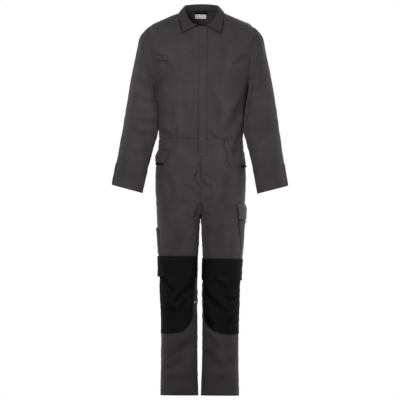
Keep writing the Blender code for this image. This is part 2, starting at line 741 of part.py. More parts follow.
def build_hip_pocket(side, sign):
    size = HIP_POCKETS[side]

    def stand_off(point):
        outward = between(abs(point.x), (size.mouth_x + size.corner_reach, HIP_SIDE_X))
        return LAYER_GAP + size.stand_off * outward * sin(pi * between(point.z, (size.bottom, size.top)))

    far = size.mouth_x + size.corner_reach
    cuts = bounds(x=(sign * size.mouth_x, sign * BEYOND), z=(size.bottom, size.top))
    cuts.append(slant(sign * size.mouth_x, size.corner_z, sign * far, size.bottom, -sign, -1))
    patch(f"pocket_facing_{side}", (f"leg_front_{side}",), cuts, stand_off)
    top = size.bottom - 2 * LAYER_GAP
    cuts = bounds(x=(sign * size.tack_x, sign * BEYOND), y=(-BEYOND, TACK_BACK_Y),
                  z=(size.bottom - TACK_HEIGHT, top))
    over = (f"leg_front_{side}", f"leg_back_{side}")
    patch(f"pocket_tack_{side}", over, cuts, LAYER_GAP, "black_cordura")


def build_thigh_pockets():
    over = ("leg_front_left", "leg_back_left")

    def cargo_gape(point):
        return LAYER_GAP + CARGO_MOUTH * between(point.z, CARGO_Z) ** 2

    def cargo_outline(margin, limits):
        front = (CARGO_FRONT_X[0] - margin, CARGO_Z[1], CARGO_FRONT_X[1] - margin, CARGO_Z[0])
        outline = bounds(x=(THIGH_SIDE_X, BEYOND), y=(-BEYOND, CARGO_BACK_Y + margin), z=limits)
        return outline + [slant(*front, -1, 0)]

    patch("cargo_pocket", over, cargo_outline(0.0, CARGO_Z), cargo_gape)

    def flap_gape(point):
        fallen = 1 - between(point.z, (CARGO_FLAP_SETTLE_Z, CARGO_FLAP_Z[1]))
        return LAYER_GAP + CARGO_FLAP_STAND_OFF * fallen

    patch("cargo_flap", over, cargo_outline(FLAP_MARGIN, CARGO_FLAP_Z), flap_gape)
    half = CARGO_TAB_HALF_WIDTH
    cuts = bounds(x=(THIGH_SIDE_X, BEYOND), y=(-half, half), z=CARGO_TAB_Z)
    patch("cargo_tab", over, cuts, CARGO_FLAP_STAND_OFF)

    def rule_gape(point):
        return LAYER_GAP + RULE_MOUTH * between(point.z, RULE_Z) ** 2

    cuts = bounds(x=(-BEYOND, -THIGH_SIDE_X), y=RULE_Y, z=RULE_Z)
    patch("rule_pocket", ("leg_front_right", "leg_back_right"), cuts, rule_gape)


def build_knee(side, sign):
    size = KNEES[side]
    over = (f"leg_front_{side}", f"leg_back_{side}")
    cuts = bounds(x=(sign * size.corner[0][0], sign * BEYOND), y=(-BEYOND, KNEE_WRAP_Y),
                  z=(size.foot, size.pocket_top))
    for (x1, z1), (x2, z2) in zip(size.corner, size.corner[1:]):
        cuts.append(slant(sign * x1, z1, sign * x2, z2, -sign, -1))
    patch(f"knee_pocket_{side}", over, cuts, LAYER_GAP, "black_cordura")

    def flare(point):
        outward = between(abs(point.x), KNEE_FLARE_X)
        fallen = 1 - between(point.z, (size.flap_foot, size.top))
        return FLAP_OVER + size.flap_flare * outward * fallen

    cuts = bounds(x=(sign * size.flap_inner, sign * BEYOND), y=(-BEYOND, KNEE_WRAP_Y + FLAP_MARGIN),
                  z=(size.flap_foot, size.top))
    patch(f"knee_flap_{side}", over, cuts, flare, "black_cordura")
    cuts = bounds(x=(0.0, sign * INSEAM_TAB_REACH[side]), y=(INSEAM_TAB_DEEP, 0.0), z=INSEAM_TAB_Z)
    patch(f"inseam_tab_{side}", (f"leg_front_{side}",), cuts, LAYER_GAP, "grey_reflective")


def build_cuff_tab(side, sign):
    """A stitched tab at the outer back of the cuff, over the ends of the band."""
    top, foot = SLEEVE[-CUFF_RINGS - 1], SLEEVE[-1]
    cuts = bounds(x=(sign * CUFF_TAB_X, sign * 2 * BEYOND), y=CUFF_TAB_Y)
    margin = CUFF_TAB_MARGIN
    cuts.append(slant(sign * top.outer_x, top.outer_z - margin, sign * top.inner_x, top.inner_z - margin,
                      0, 1))
    cuts.append(slant(sign * foot.outer_x, foot.outer_z + margin, sign * foot.inner_x,
                      foot.inner_z + margin, 0, -1))
    patch(f"cuff_tab_{side}", (f"cuff_{side}",), cuts, CUFF_LIFT + LAYER_GAP)


def main():
    for item in list(bpy.context.scene.objects):
        bpy.data.objects.remove(item, do_unlink=True)
    neck_seam = build_panels()
    build_collar(neck_seam)
    build_labels()
    build_front_pieces()
    build_thigh_pockets()
    for side, sign in (("left", 1), ("right", -1)):
        build_hip_pocket(side, sign)
        build_knee(side, sign)
        build_cuff_tab(side, sign)


main()
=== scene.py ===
# %% [markdown]
# # A work boiler suit
# The suit is filled out as if somebody wore it, with nobody inside. A maker cuts flat panels of
# twill and sews them edge to edge, so here too each panel is a sheet of its own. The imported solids
# give every panel its true shape and place. This lesson turns them into cloth: it keeps the side of
# each panel that faces out, refines it, lays creases into it, gives it the cloth's thickness again,
# and then sews pockets, tabs and stitching on top.

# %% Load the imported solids
import math
from collections import namedtuple

import bmesh
import bpy
import numpy as np
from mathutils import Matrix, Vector, kdtree, noise
from mathutils.bvhtree import BVHTree


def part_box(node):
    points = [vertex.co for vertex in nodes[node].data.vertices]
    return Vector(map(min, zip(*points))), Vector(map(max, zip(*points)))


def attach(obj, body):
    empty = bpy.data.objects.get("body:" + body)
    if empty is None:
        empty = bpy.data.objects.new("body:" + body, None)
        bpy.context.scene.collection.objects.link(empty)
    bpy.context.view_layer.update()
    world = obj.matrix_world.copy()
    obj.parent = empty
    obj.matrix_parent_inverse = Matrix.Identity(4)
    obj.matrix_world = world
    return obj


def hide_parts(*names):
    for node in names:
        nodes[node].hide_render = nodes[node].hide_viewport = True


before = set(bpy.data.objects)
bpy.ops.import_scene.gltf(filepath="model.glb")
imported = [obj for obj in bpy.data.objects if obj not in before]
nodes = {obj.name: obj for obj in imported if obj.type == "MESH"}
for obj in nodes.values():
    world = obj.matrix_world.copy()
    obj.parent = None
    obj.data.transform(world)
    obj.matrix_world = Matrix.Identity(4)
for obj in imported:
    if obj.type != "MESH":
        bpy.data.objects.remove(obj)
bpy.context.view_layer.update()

# %% [markdown]
# ## Holding one piece at a time
# Blender's operators act on whatever is selected. These short helpers let go of everything, take
# one piece in hand, and open or close its mesh, the way one would with A, click and Tab.

# %% Helpers for selecting
CLOTH = 0.0012
REFINE_PASSES = 3


def hold(piece):
    """Select this piece alone."""
    if bpy.context.object and bpy.context.object.mode != "OBJECT":
        bpy.ops.object.mode_set(mode="OBJECT")
    bpy.ops.object.select_all(action="DESELECT")
    piece.hide_set(False)
    piece.select_set(True)
    bpy.context.view_layer.objects.active = piece


def open_mesh(piece, kind="FACE"):
    """Hold a piece and enter edit mode with nothing selected."""
    hold(piece)
    bpy.ops.object.mode_set(mode="EDIT")
    bpy.ops.mesh.select_mode(type=kind)
    bpy.ops.mesh.select_all(action="DESELECT")
    return bmesh.from_edit_mesh(piece.data)


def close_mesh():
    bpy.ops.object.mode_set(mode="OBJECT")


def apply_modifier(piece, kind, **settings):
    """Add one modifier, set it and apply it."""
    hold(piece)
    added = piece.modifiers.new(kind.lower(), kind)
    for key, value in settings.items():
        setattr(added, key, value)
    bpy.ops.object.modifier_apply(modifier=added.name)


def refine(piece, rounds, passes=REFINE_PASSES):
    """Smooth a sheet into finer faces, and keep its old points where they are."""
    settings = dict(levels=rounds, render_levels=rounds, boundary_smooth="PRESERVE_CORNERS")
    wanted = places_of(piece).copy()
    cage = wanted.copy()
    for _ in range(passes):
        trial = piece.copy()
        trial.data = piece.data.copy()
        bpy.context.scene.collection.objects.link(trial)
        put_places(trial, cage)
        apply_modifier(trial, "SUBSURF", **settings)
        cage += wanted - places_of(trial)[:len(wanted)]
        bpy.data.objects.remove(trial)
    put_places(piece, cage)
    apply_modifier(piece, "SUBSURF", **settings)


def places_of(piece):
    """All the points of a mesh as rows of x, y, z."""
    flat = np.empty(len(piece.data.vertices) * 3)
    piece.data.vertices.foreach_get("co", flat)
    return flat.reshape(-1, 3)


def directions_of(piece):
    """The outward direction at each point."""
    flat = np.empty(len(piece.data.vertices) * 3)
    piece.data.vertex_normals.foreach_get("vector", flat)
    return flat.reshape(-1, 3)


def put_places(piece, places):
    piece.data.vertices.foreach_set("co", places.reshape(-1))
    piece.data.update()


# %% [markdown]
# ## The outer side of each panel
# A solid panel has an outer wall, an inner wall and a narrow rim. Only the outer wall is wanted: a
# fine sheet can be creased far more easily than a closed slab, and it gets its thickness back at
# the end. One face that looks outwards is picked in code, and Blender then selects everything that
# runs on from it without a sharp turn, which stops at the rim. The rest is deleted, and pairs of
# triangles become four-sided faces, because those refine most evenly.

# %% Keep the outer side
ARM_LINE = np.array([
    (-0.746, 0.309, -0.050),
    (-0.527, 0.265, -0.034),
    (-0.362, 0.247, -0.025),
    (-0.208, 0.230, -0.001),
])
ON_A_LEG = ("leg", "knee", "cargo", "rule", "inseam", "pocket", "waist")


def middle_of(place, node, side):
    """The point in the body or the limb that this bit of cloth faces away from."""
    if any(word in node for word in ON_A_LEG):
        return Vector((0.09 * side, 0.01, place.z))
    if node.startswith(("sleeve", "cuff")):
        x = np.interp(place.z, ARM_LINE[:, 0], ARM_LINE[:, 1])
        y = np.interp(place.z, ARM_LINE[:, 0], ARM_LINE[:, 2])
        return Vector((x * side, y, place.z))
    return Vector((place.x * 0.5, 0.0, min(place.z, -0.25)))


# The yoke bends sharply over the shoulders' ends, so on it a wider turn still counts as one side
SHARPEST_TURN = 55
WIDER_TURN = {"yoke": 60}
PAIR_TURN = math.radians(70)


def outer_side(node):
    """A new sheet from the outer wall of a node."""
    piece = bpy.data.objects.new(node + "_cloth", nodes[node].data.copy())
    bpy.context.scene.collection.objects.link(piece)
    piece.data.materials.clear()
    shape = open_mesh(piece)
    bpy.ops.mesh.select_all(action="SELECT")
    bpy.ops.mesh.remove_doubles(threshold=1e-5)
    bpy.ops.mesh.select_all(action="DESELECT")

    low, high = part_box(node)
    side = math.copysign(1.0, low.x + high.x)

    def outwards(face):
        here = face.calc_center_median()
        return face.calc_area() * face.normal.dot((here - middle_of(here, node, side)).normalized())

    shape = bmesh.from_edit_mesh(piece.data)
    max(shape.faces, key=outwards).select_set(True)
    bmesh.update_edit_mesh(piece.data)
    one_side = math.radians(WIDER_TURN.get(node, SHARPEST_TURN))
    bpy.ops.mesh.faces_select_linked_flat(sharpness=one_side)
    bpy.ops.mesh.select_all(action="INVERT")
    bpy.ops.mesh.delete(type="FACE")
    bpy.ops.mesh.select_all(action="SELECT")
    bpy.ops.mesh.tris_convert_to_quads(face_threshold=PAIR_TURN, shape_threshold=PAIR_TURN)
    close_mesh()
    return piece


# %% [markdown]
# ## A pattern that follows the cloth
# The weave has to run with the cloth, round an arm as well as down a leg, so each sheet is
# unwrapped flat like the paper pattern it was cut from. The flat pattern is then turned upright and
# given its real size in metres, and one weave at its true scale fits every panel. A cuff is a
# tube: it is first cut open along its inner side, as the ends of the real band meet there.

# %% Unwrap a sheet to its real size
def unwrap(piece):
    """Lay the sheet flat, upright and in metres, in its UV map."""
    open_mesh(piece)
    bpy.ops.mesh.select_all(action="SELECT")
    bpy.ops.uv.unwrap(method="ANGLE_BASED", margin=0.0)
    close_mesh()
    layer = piece.data.uv_layers.active
    flat = np.empty(len(layer.data) * 2)
    layer.data.foreach_get("uv", flat)
    flat = flat.reshape(-1, 2)
    corners = np.empty(len(piece.data.loops), dtype=int)
    piece.data.loops.foreach_get("vertex_index", corners)
    height = places_of(piece)[corners, 2]
    flat = flat - flat.mean(axis=0)
    rise = np.linalg.lstsq(flat, height - height.mean(), rcond=None)[0]
    turn = math.atan2(rise[0], rise[1])
    c, s = math.cos(turn), math.sin(turn)
    flat = flat @ np.array([[c, s], [-s, c]])
    real, drawn = 0.0, 0.0
    for face in piece.data.polygons:
        real += face.area
        ring = flat[face.loop_start:face.loop_start + face.loop_total]
        after = np.roll(ring, -1, axis=0)
        drawn += abs((ring[:, 0] * after[:, 1] - after[:, 0] * ring[:, 1]).sum()) / 2
    flat *= math.sqrt(real / drawn)
    layer.data.foreach_set("uv", flat.reshape(-1))
    size = flat.max(axis=0) - flat.min(axis=0)
    return size, real


# %% [markdown]
# ## Where the big pieces come from
# Fronts, back, yoke, sleeves, cuffs and trouser panels are refined in the same way: unwrap first,
# while the mesh is light, then three rounds of Catmull-Clark smoothing, which carry the pattern
# along and bring the points to about 4 mm apart. That is fine enough for a soft crease. Corners are
# kept, so four panels still meet where they should.

# %% Make the panels
PANELS = [
    "front_left", "front_right", "back", "yoke",
    "sleeve_front_left", "sleeve_front_right", "sleeve_back_left", "sleeve_back_right",
    "cuff_left", "cuff_right", "leg_front_left", "leg_front_right", "leg_back_left", "leg_back_right",
]
flat_size = {}
flat_area = {}
cloth = {}


def open_cuff(piece, node):
    """Mark the band's ends: the innermost point of its top edge, of its foot and of the line between."""
    low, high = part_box(node)
    shape = open_mesh(piece, "EDGE")
    rows = [
        [v for v in shape.verts if v.is_boundary and v.co.z > (low.z + high.z) / 2],
        [v for v in shape.verts if v.is_boundary and v.co.z < (low.z + high.z) / 2],
        [v for v in shape.verts if not v.is_boundary],
    ]
    ends = [min(row, key=lambda v: abs(v.co.x)) for row in rows]
    for edge in shape.edges:
        edge.select_set(edge.verts[0] in ends and edge.verts[1] in ends)
    bmesh.update_edit_mesh(piece.data)
    bpy.ops.mesh.mark_seam(clear=False)
    close_mesh()


for node in PANELS:
    piece = outer_side(node)
    if node.startswith("cuff"):
        open_cuff(piece, node)
    size, area = unwrap(piece)
    flat_size[node], flat_area[node] = size, area
    refine(piece, 3)
    cloth[node] = piece
    print(node, len(piece.data.polygons), "faces, flat", [round(float(v), 3) for v in size])

# %% [markdown]
# ## A seam edge that can roll in
# Two panels meet in a fine dark line, because each edge turns inwards to be sewn. A narrow border of
# faces is inset round every panel, so the outermost points can sink without bending the cloth
# beside them.

# %% Inset a narrow border
SEAM_ROLL = 0.0014
for node, piece in cloth.items():
    open_mesh(piece)
    bpy.ops.mesh.select_all(action="SELECT")
    bpy.ops.mesh.inset(thickness=SEAM_ROLL, depth=0.0, use_boundary=True, use_even_offset=True)
    close_mesh()
print("a border", SEAM_ROLL * 1000, "mm wide on", len(cloth), "panels")

# %% [markdown]
# ## Creases laid in one by one
# Cloth that has been worn and pressed keeps soft folds where the body bends: at the arm pits and
# elbows, across the waist, fanning out of the crotch and across the knees. Each row of the table is
# one fold, drawn as a curve through three points seen from the front or from the back. A fold is a
# trough with an uneven ridge on each side, deepest in the middle and fading at both ends. The
# widths, depths and lengths all differ, since evenly spaced folds look printed.

# %% The folds
Fold = namedtuple("Fold", "where face x1 z1 x2 z2 x3 z3 width depth")
FOLDS = [
    Fold("body", "front", -0.171, -0.275, -0.188, -0.315, -0.190, -0.352, 0.013, 0.0040),
    Fold("body", "front", -0.183, -0.478, -0.157, -0.500, -0.120, -0.522, 0.011, 0.0042),
    Fold("body", "front", -0.094, -0.462, -0.106, -0.500, -0.098, -0.528, 0.008, 0.0030),
    Fold("body", "front", 0.182, -0.345, 0.152, -0.417, 0.108, -0.496, 0.015, 0.0050),
    Fold("body", "front", 0.022, -0.487, 0.047, -0.512, 0.076, -0.527, 0.008, 0.0030),
    Fold("body", "front", 0.204, -0.172, 0.168, -0.190, 0.126, -0.224, 0.010, 0.0038),
    Fold("body", "front", -0.060, -0.262, -0.064, -0.353, -0.068, -0.445, 0.006, 0.0016),
    Fold("body", "front", -0.075, -0.262, -0.078, -0.350, -0.082, -0.440, 0.006, 0.0012),
    Fold("body", "front", -0.200, -0.170, -0.150, -0.205, -0.110, -0.260, 0.012, 0.0022),
    Fold("body", "front", 0.120, -0.110, 0.090, -0.200, 0.085, -0.300, 0.018, 0.0020),
    Fold("body", "front", -0.120, -0.120, -0.105, -0.180, -0.100, -0.240, 0.016, 0.0016),
    Fold("body", "front", 0.050, -0.330, 0.075, -0.400, 0.068, -0.480, 0.014, 0.0020),
    Fold("body", "front", -0.130, -0.380, -0.120, -0.430, -0.135, -0.480, 0.012, 0.0022),
    Fold("body", "front", -0.150, -0.545, -0.110, -0.552, -0.060, -0.548, 0.008, 0.0018),
    Fold("body", "front", -0.0095, -0.660, -0.024, -0.690, -0.035, -0.722, 0.0055, 0.0050),
    Fold("body", "front", 0.008, -0.706, 0.018, -0.720, 0.030, -0.738, 0.0052, 0.0046),
    Fold("body", "front", 0.037, -0.715, 0.042, -0.740, 0.049, -0.772, 0.0055, 0.0036),
    Fold("body", "front", -0.004, -0.792, -0.033, -0.752, -0.080, -0.722, 0.009, 0.0018),
    Fold("body", "front", -0.006, -0.800, -0.016, -0.835, -0.031, -0.874, 0.0062, 0.0048),
    Fold("body", "front", 0.003, -0.800, 0.007, -0.826, 0.015, -0.860, 0.0055, 0.0042),
    Fold("body", "front", 0.004, -0.806, 0.040, -0.780, 0.095, -0.768, 0.009, 0.0014),
    Fold("body", "front", -0.021, -0.688, -0.016, -0.712, -0.010, -0.738, 0.0046, 0.0040),
    Fold("body", "front", 0.173, -0.500, 0.149, -0.561, 0.133, -0.632, 0.0085, 0.0044),
    Fold("body", "front", -0.004, -0.625, -0.010, -0.640, -0.013, -0.655, 0.0045, 0.0030),
    Fold("body", "front", 0.130, -0.670, 0.105, -0.730, 0.100, -0.800, 0.016, 0.0022),
    Fold("body", "front", -0.140, -0.660, -0.125, -0.730, -0.110, -0.790, 0.015, 0.0024),
    Fold("body", "front", -0.090, -0.880, -0.100, -0.950, -0.088, -1.020, 0.020, 0.0026),
    Fold("body", "front", 0.070, -0.890, 0.085, -0.950, 0.080, -1.010, 0.018, 0.0024),
    Fold("body", "front", 0.140, -0.930, 0.128, -0.980, 0.135, -1.030, 0.013, 0.0022),
    Fold("body", "front", -0.026, -1.145, -0.069, -1.178, -0.112, -1.224, 0.011, 0.0046),
    Fold("body", "front", -0.032, -1.190, -0.064, -1.218, -0.088, -1.258, 0.009, 0.0034),
    Fold("body", "front", -0.172, -1.112, -0.137, -1.148, -0.098, -1.178, 0.009, 0.0038),
    Fold("body", "front", -0.120, -1.225, -0.090, -1.212, -0.045, -1.222, 0.008, 0.0026),
    Fold("body", "front", -0.165, -1.270, -0.130, -1.250, -0.095, -1.262, 0.010, 0.0026),
    Fold("body", "front", 0.018, -1.156, 0.048, -1.207, 0.128, -1.272, 0.010, 0.0044),
    Fold("body", "front", 0.056, -1.114, 0.088, -1.143, 0.126, -1.168, 0.008, 0.0032),
    Fold("body", "front", 0.102, -1.203, 0.136, -1.207, 0.175, -1.197, 0.009, 0.0034),
    Fold("body", "front", 0.018, -1.270, 0.043, -1.313, 0.066, -1.366, 0.010, 0.0036),
    Fold("body", "front", 0.160, -1.260, 0.130, -1.300, 0.105, -1.310, 0.010, 0.0024),
    Fold("body", "front", -0.012, -1.372, -0.076, -1.411, -0.140, -1.465, 0.018, 0.0056),
    Fold("body", "front", -0.038, -1.435, -0.101, -1.482, -0.160, -1.527, 0.016, 0.0046),
    Fold("body", "front", 0.014, -1.343, 0.047, -1.381, 0.090, -1.428, 0.014, 0.0044),
    Fold("body", "front", 0.022, -1.407, 0.056, -1.456, 0.107, -1.499, 0.016, 0.0036),
    Fold("body", "front", 0.162, -1.432, 0.120, -1.474, 0.066, -1.508, 0.016, 0.0030),
    Fold("body", "front", -0.140, -1.560, -0.100, -1.540, -0.050, -1.560, 0.014, 0.0024),
    Fold("body", "front", 0.040, -1.560, 0.090, -1.548, 0.140, -1.565, 0.014, 0.0022),
    Fold("body", "back", -0.170, -0.420, -0.100, -0.462, -0.030, -0.476, 0.014, 0.0044),
    Fold("body", "back", -0.165, -0.500, -0.110, -0.512, -0.050, -0.505, 0.011, 0.0030),
    Fold("body", "back", 0.172, -0.436, 0.110, -0.470, 0.045, -0.478, 0.013, 0.0042),
    Fold("body", "back", 0.160, -0.505, 0.100, -0.518, 0.030, -0.512, 0.010, 0.0030),
    Fold("body", "back", -0.196, -0.200, -0.160, -0.260, -0.120, -0.340, 0.016, 0.0036),
    Fold("body", "back", 0.198, -0.210, 0.158, -0.275, 0.126, -0.350, 0.017, 0.0034),
    Fold("body", "back", -0.060, -0.180, -0.070, -0.280, -0.050, -0.380, 0.020, 0.0018),
    Fold("body", "back", 0.075, -0.170, 0.060, -0.270, 0.070, -0.360, 0.018, 0.0018),
    Fold("body", "back", -0.010, -0.830, -0.060, -0.800, -0.130, -0.770, 0.014, 0.0050),
    Fold("body", "back", 0.010, -0.835, 0.070, -0.805, 0.140, -0.782, 0.014, 0.0046),
    Fold("body", "back", -0.020, -0.880, -0.080, -0.878, -0.150, -0.862, 0.014, 0.0040),
    Fold("body", "back", 0.022, -0.876, 0.080, -0.880, 0.145, -0.868, 0.013, 0.0042),
    Fold("body", "back", -0.150, -1.140, -0.090, -1.165, -0.030, -1.158, 0.012, 0.0048),
    Fold("body", "back", -0.155, -1.196, -0.100, -1.205, -0.035, -1.190, 0.011, 0.0040),
    Fold("body", "back", -0.140, -1.240, -0.095, -1.236, -0.040, -1.246, 0.010, 0.0028),
    Fold("body", "back", 0.155, -1.146, 0.090, -1.160, 0.028, -1.168, 0.012, 0.0046),
    Fold("body", "back", 0.150, -1.206, 0.095, -1.200, 0.040, -1.214, 0.012, 0.0040),
    Fold("body", "back", 0.130, -1.250, 0.085, -1.243, 0.035, -1.236, 0.009, 0.0026),
    Fold("body", "back", -0.150, -1.400, -0.090, -1.440, -0.040, -1.500, 0.017, 0.0034),
    Fold("body", "back", 0.145, -1.390, 0.090, -1.450, 0.045, -1.495, 0.018, 0.0034),
    Fold("arm", "front", 0.204, -0.322, 0.236, -0.305, 0.276, -0.262, 0.013, 0.0022),
    Fold("arm", "front", 0.196, -0.372, 0.236, -0.362, 0.282, -0.330, 0.011, 0.0018),
    Fold("arm", "front", 0.186, -0.446, 0.226, -0.458, 0.272, -0.440, 0.011, 0.0023),
    Fold("arm", "front", 0.190, -0.486, 0.238, -0.494, 0.290, -0.474, 0.012, 0.0020),
    Fold("arm", "front", 0.214, -0.566, 0.255, -0.585, 0.305, -0.572, 0.011, 0.0016),
    Fold("arm", "front", 0.262, -0.598, 0.268, -0.626, 0.270, -0.652, 0.006, 0.0014),
    Fold("arm", "front", 0.308, -0.578, 0.312, -0.606, 0.318, -0.634, 0.006, 0.0013),
    Fold("arm", "front", 0.242, -0.074, 0.254, -0.100, 0.262, -0.140, 0.008, 0.0017),
    Fold("arm", "front", -0.203, -0.318, -0.240, -0.300, -0.272, -0.268, 0.012, 0.0034),
    Fold("arm", "front", -0.194, -0.384, -0.232, -0.370, -0.286, -0.346, 0.012, 0.0028),
    Fold("arm", "front", -0.187, -0.456, -0.230, -0.462, -0.268, -0.450, 0.010, 0.0036),
    Fold("arm", "front", -0.193, -0.502, -0.236, -0.512, -0.298, -0.494, 0.013, 0.0032),
    Fold("arm", "front", -0.220, -0.576, -0.262, -0.590, -0.300, -0.580, 0.010, 0.0024),
    Fold("arm", "front", -0.270, -0.604, -0.272, -0.630, -0.276, -0.656, 0.006, 0.0024),
    Fold("arm", "front", -0.318, -0.576, -0.320, -0.600, -0.326, -0.626, 0.006, 0.0022),
    Fold("arm", "front", -0.246, -0.080, -0.256, -0.110, -0.262, -0.146, 0.009, 0.0024),
    Fold("arm", "back", 0.202, -0.330, 0.240, -0.312, 0.280, -0.270, 0.014, 0.0036),
    Fold("arm", "back", 0.210, -0.430, 0.250, -0.410, 0.300, -0.420, 0.013, 0.0030),
    Fold("arm", "back", 0.205, -0.500, 0.250, -0.480, 0.305, -0.485, 0.013, 0.0028),
    Fold("arm", "back", 0.225, -0.590, 0.262, -0.570, 0.320, -0.575, 0.011, 0.0024),
    Fold("arm", "back", -0.204, -0.336, -0.244, -0.310, -0.284, -0.276, 0.013, 0.0036),
    Fold("arm", "back", -0.206, -0.440, -0.252, -0.424, -0.296, -0.430, 0.012, 0.0030),
    Fold("arm", "back", -0.210, -0.515, -0.256, -0.496, -0.312, -0.500, 0.014, 0.0028),
    Fold("arm", "back", -0.230, -0.600, -0.268, -0.580, -0.318, -0.586, 0.010, 0.0022),
]
FOLD_STEPS = 12
FOLD_STRENGTH = {"body": 1.15, "arm": 0.70}


def fold_line(fold):
    """Points along the fold's curve, seen from the front."""
    t = np.linspace(0.0, 1.0, FOLD_STEPS + 1)[:, None]
    ends = [np.array(p) for p in ((fold.x1, fold.z1), (fold.x2, fold.z2), (fold.x3, fold.z3))]
    bend = 2 * ends[1] - (ends[0] + ends[2]) / 2
    return (1 - t) ** 2 * ends[0] + 2 * t * (1 - t) * bend + t * t * ends[2]


def fold_push(seen, fold):
    """How far one fold moves points that are seen at these x and z."""
    line = fold_line(fold)
    nearest = np.full(len(seen), 1e9)
    along = np.zeros(len(seen))
    side = np.zeros(len(seen))
    for step in range(FOLD_STEPS):
        start, run = line[step], line[step + 1] - line[step]
        offset = seen - start
        t = np.clip(offset @ run / (run @ run), 0.0, 1.0)
        away = offset - t[:, None] * run
        gap = np.hypot(away[:, 0], away[:, 1])
        closer = gap < nearest
        nearest[closer] = gap[closer]
        along[closer] = (step + t[closer]) / FOLD_STEPS
        cross = run[0] * offset[:, 1] - run[1] * offset[:, 0]
        side[closer] = np.sign(cross[closer])
    fade = np.sin(np.pi * along) ** 0.7
    width = fold.width * (0.65 + 0.5 * fade)
    across = side * nearest / width
    trough = -np.exp(-across ** 2)
    ridge = 0.60 * np.exp(-((across - 1.9) / 1.25) ** 2) + 0.30 * np.exp(-((across + 1.9) / 1.3) ** 2)
    ends = np.exp(-np.where((along <= 0) | (along >= 1), nearest / fold.width, 0.0) ** 2)
    return FOLD_STRENGTH[fold.where] * fold.depth * fade * ends * (trough + ridge)


def facing(amount, start=0.08, full=0.50):
    """0 where the cloth looks away and 1 where it looks towards a side, with a soft step between."""
    t = np.clip((amount - start) / (full - start), 0.0, 1.0)
    return t * t * (3 - 2 * t)


print(len(FOLDS), "folds")

# %% [markdown]
# ## The small unevenness between the folds
# Besides the clear folds a filled suit has long shallow waves, where the cloth hangs, and short ripples,
# where it is bunched: round elbows, knees, crotch and waist. Both are smooth noise, read at each point's
# own place, so they run on unbroken from one panel to the next. Each seam gathers the cloth a little too.
# There the edge rolls in, the doubled layers beside it stand proud, and short puckers run away from the
# stitching. The inner side of a sleeve rests against the body and fills out a little there. How deep each
# point lies is kept too, as painted light: painted shade darkens the troughs and the seam edges, and a
# painted highlight pales the ridges.

# %% Lay the folds, waves and seams into the panels
BUNCHED = np.array([
    (0.240, -0.030, -0.460, 0.10, 0.9), (-0.240, -0.030, -0.465, 0.10, 0.9),
    (0.210, 0.000, -0.320, 0.07, 0.8), (-0.210, 0.000, -0.320, 0.07, 0.8),
    (0.280, -0.040, -0.640, 0.07, 0.9), (-0.280, -0.040, -0.640, 0.07, 0.9),
    (0.000, -0.060, -0.790, 0.12, 1.0), (0.000, 0.060, -0.850, 0.12, 0.9),
    (0.100, 0.000, -1.200, 0.11, 1.0), (-0.100, 0.000, -1.190, 0.11, 1.0),
    (0.000, 0.000, -0.520, 0.16, 0.5), (0.100, 0.000, -1.500, 0.13, 0.1),
    (-0.100, 0.000, -1.500, 0.13, 0.1),
])
LONG_WAVE, SHORT_RIPPLE, SEAM_PUCKER = 0.0034, 0.0022, 0.0016
SEAM_SINK, SEAM_STAND, RESTING = 0.0011, 0.0005, 0.0068
INNER_KNEE, INNER_KNEE_Z, INNER_KNEE_REACH = 0.0040, -1.19, 0.07
RESTING_Z, RESTING_REACH = -0.39, 0.13
SHOULDER_X, SHOULDER_Z, SHOULDER_REACH = 0.216, -0.055, 0.035
# Limits of the painted light: the deepest painted shade and the brightest painted highlight
DARKEST_PAINTED_SHADE, BRIGHTEST_PAINTED_LIGHT = -2.3, 3.0


def noise_at(places, scale, offset):
    """Smooth noise between about -1 and 1 at each point."""
    moved = places * np.array(scale) + offset
    return np.array([noise.noise(Vector(p)) for p in moved])


def to_border(piece, places):
    """How far each point is from the sheet's open edge."""
    shape = bmesh.new()
    shape.from_mesh(piece.data)
    rim = [v.co.copy() for v in shape.verts if v.is_boundary]
    shape.free()
    tree = kdtree.KDTree(len(rim))
    for count, place in enumerate(rim):
        tree.insert(place, count)
    tree.balance()
    return np.array([tree.find(place)[2] for place in places])


def creases_at(places, out, where):
    """How far all the folds together move the cloth at each point."""
    seen = places[:, [0, 2]]
    ahead, behind = facing(-out[:, 1]), facing(out[:, 1])
    push = np.zeros(len(places))
    for fold in FOLDS:
        if fold.where == where:
            push += fold_push(seen, fold) * (ahead if fold.face == "front" else behind)
    return push


def set_painted_light(piece, painted_light):
    """Store the painted light: -1 for painted shade in a trough or seam, 1 and more for a painted
    highlight.
    """
    layer = piece.data.attributes.get("painted_light") or piece.data.attributes.new("painted_light", "FLOAT", "POINT")
    layer.data.foreach_set("value", np.clip(painted_light, DARKEST_PAINTED_SHADE, BRIGHTEST_PAINTED_LIGHT))


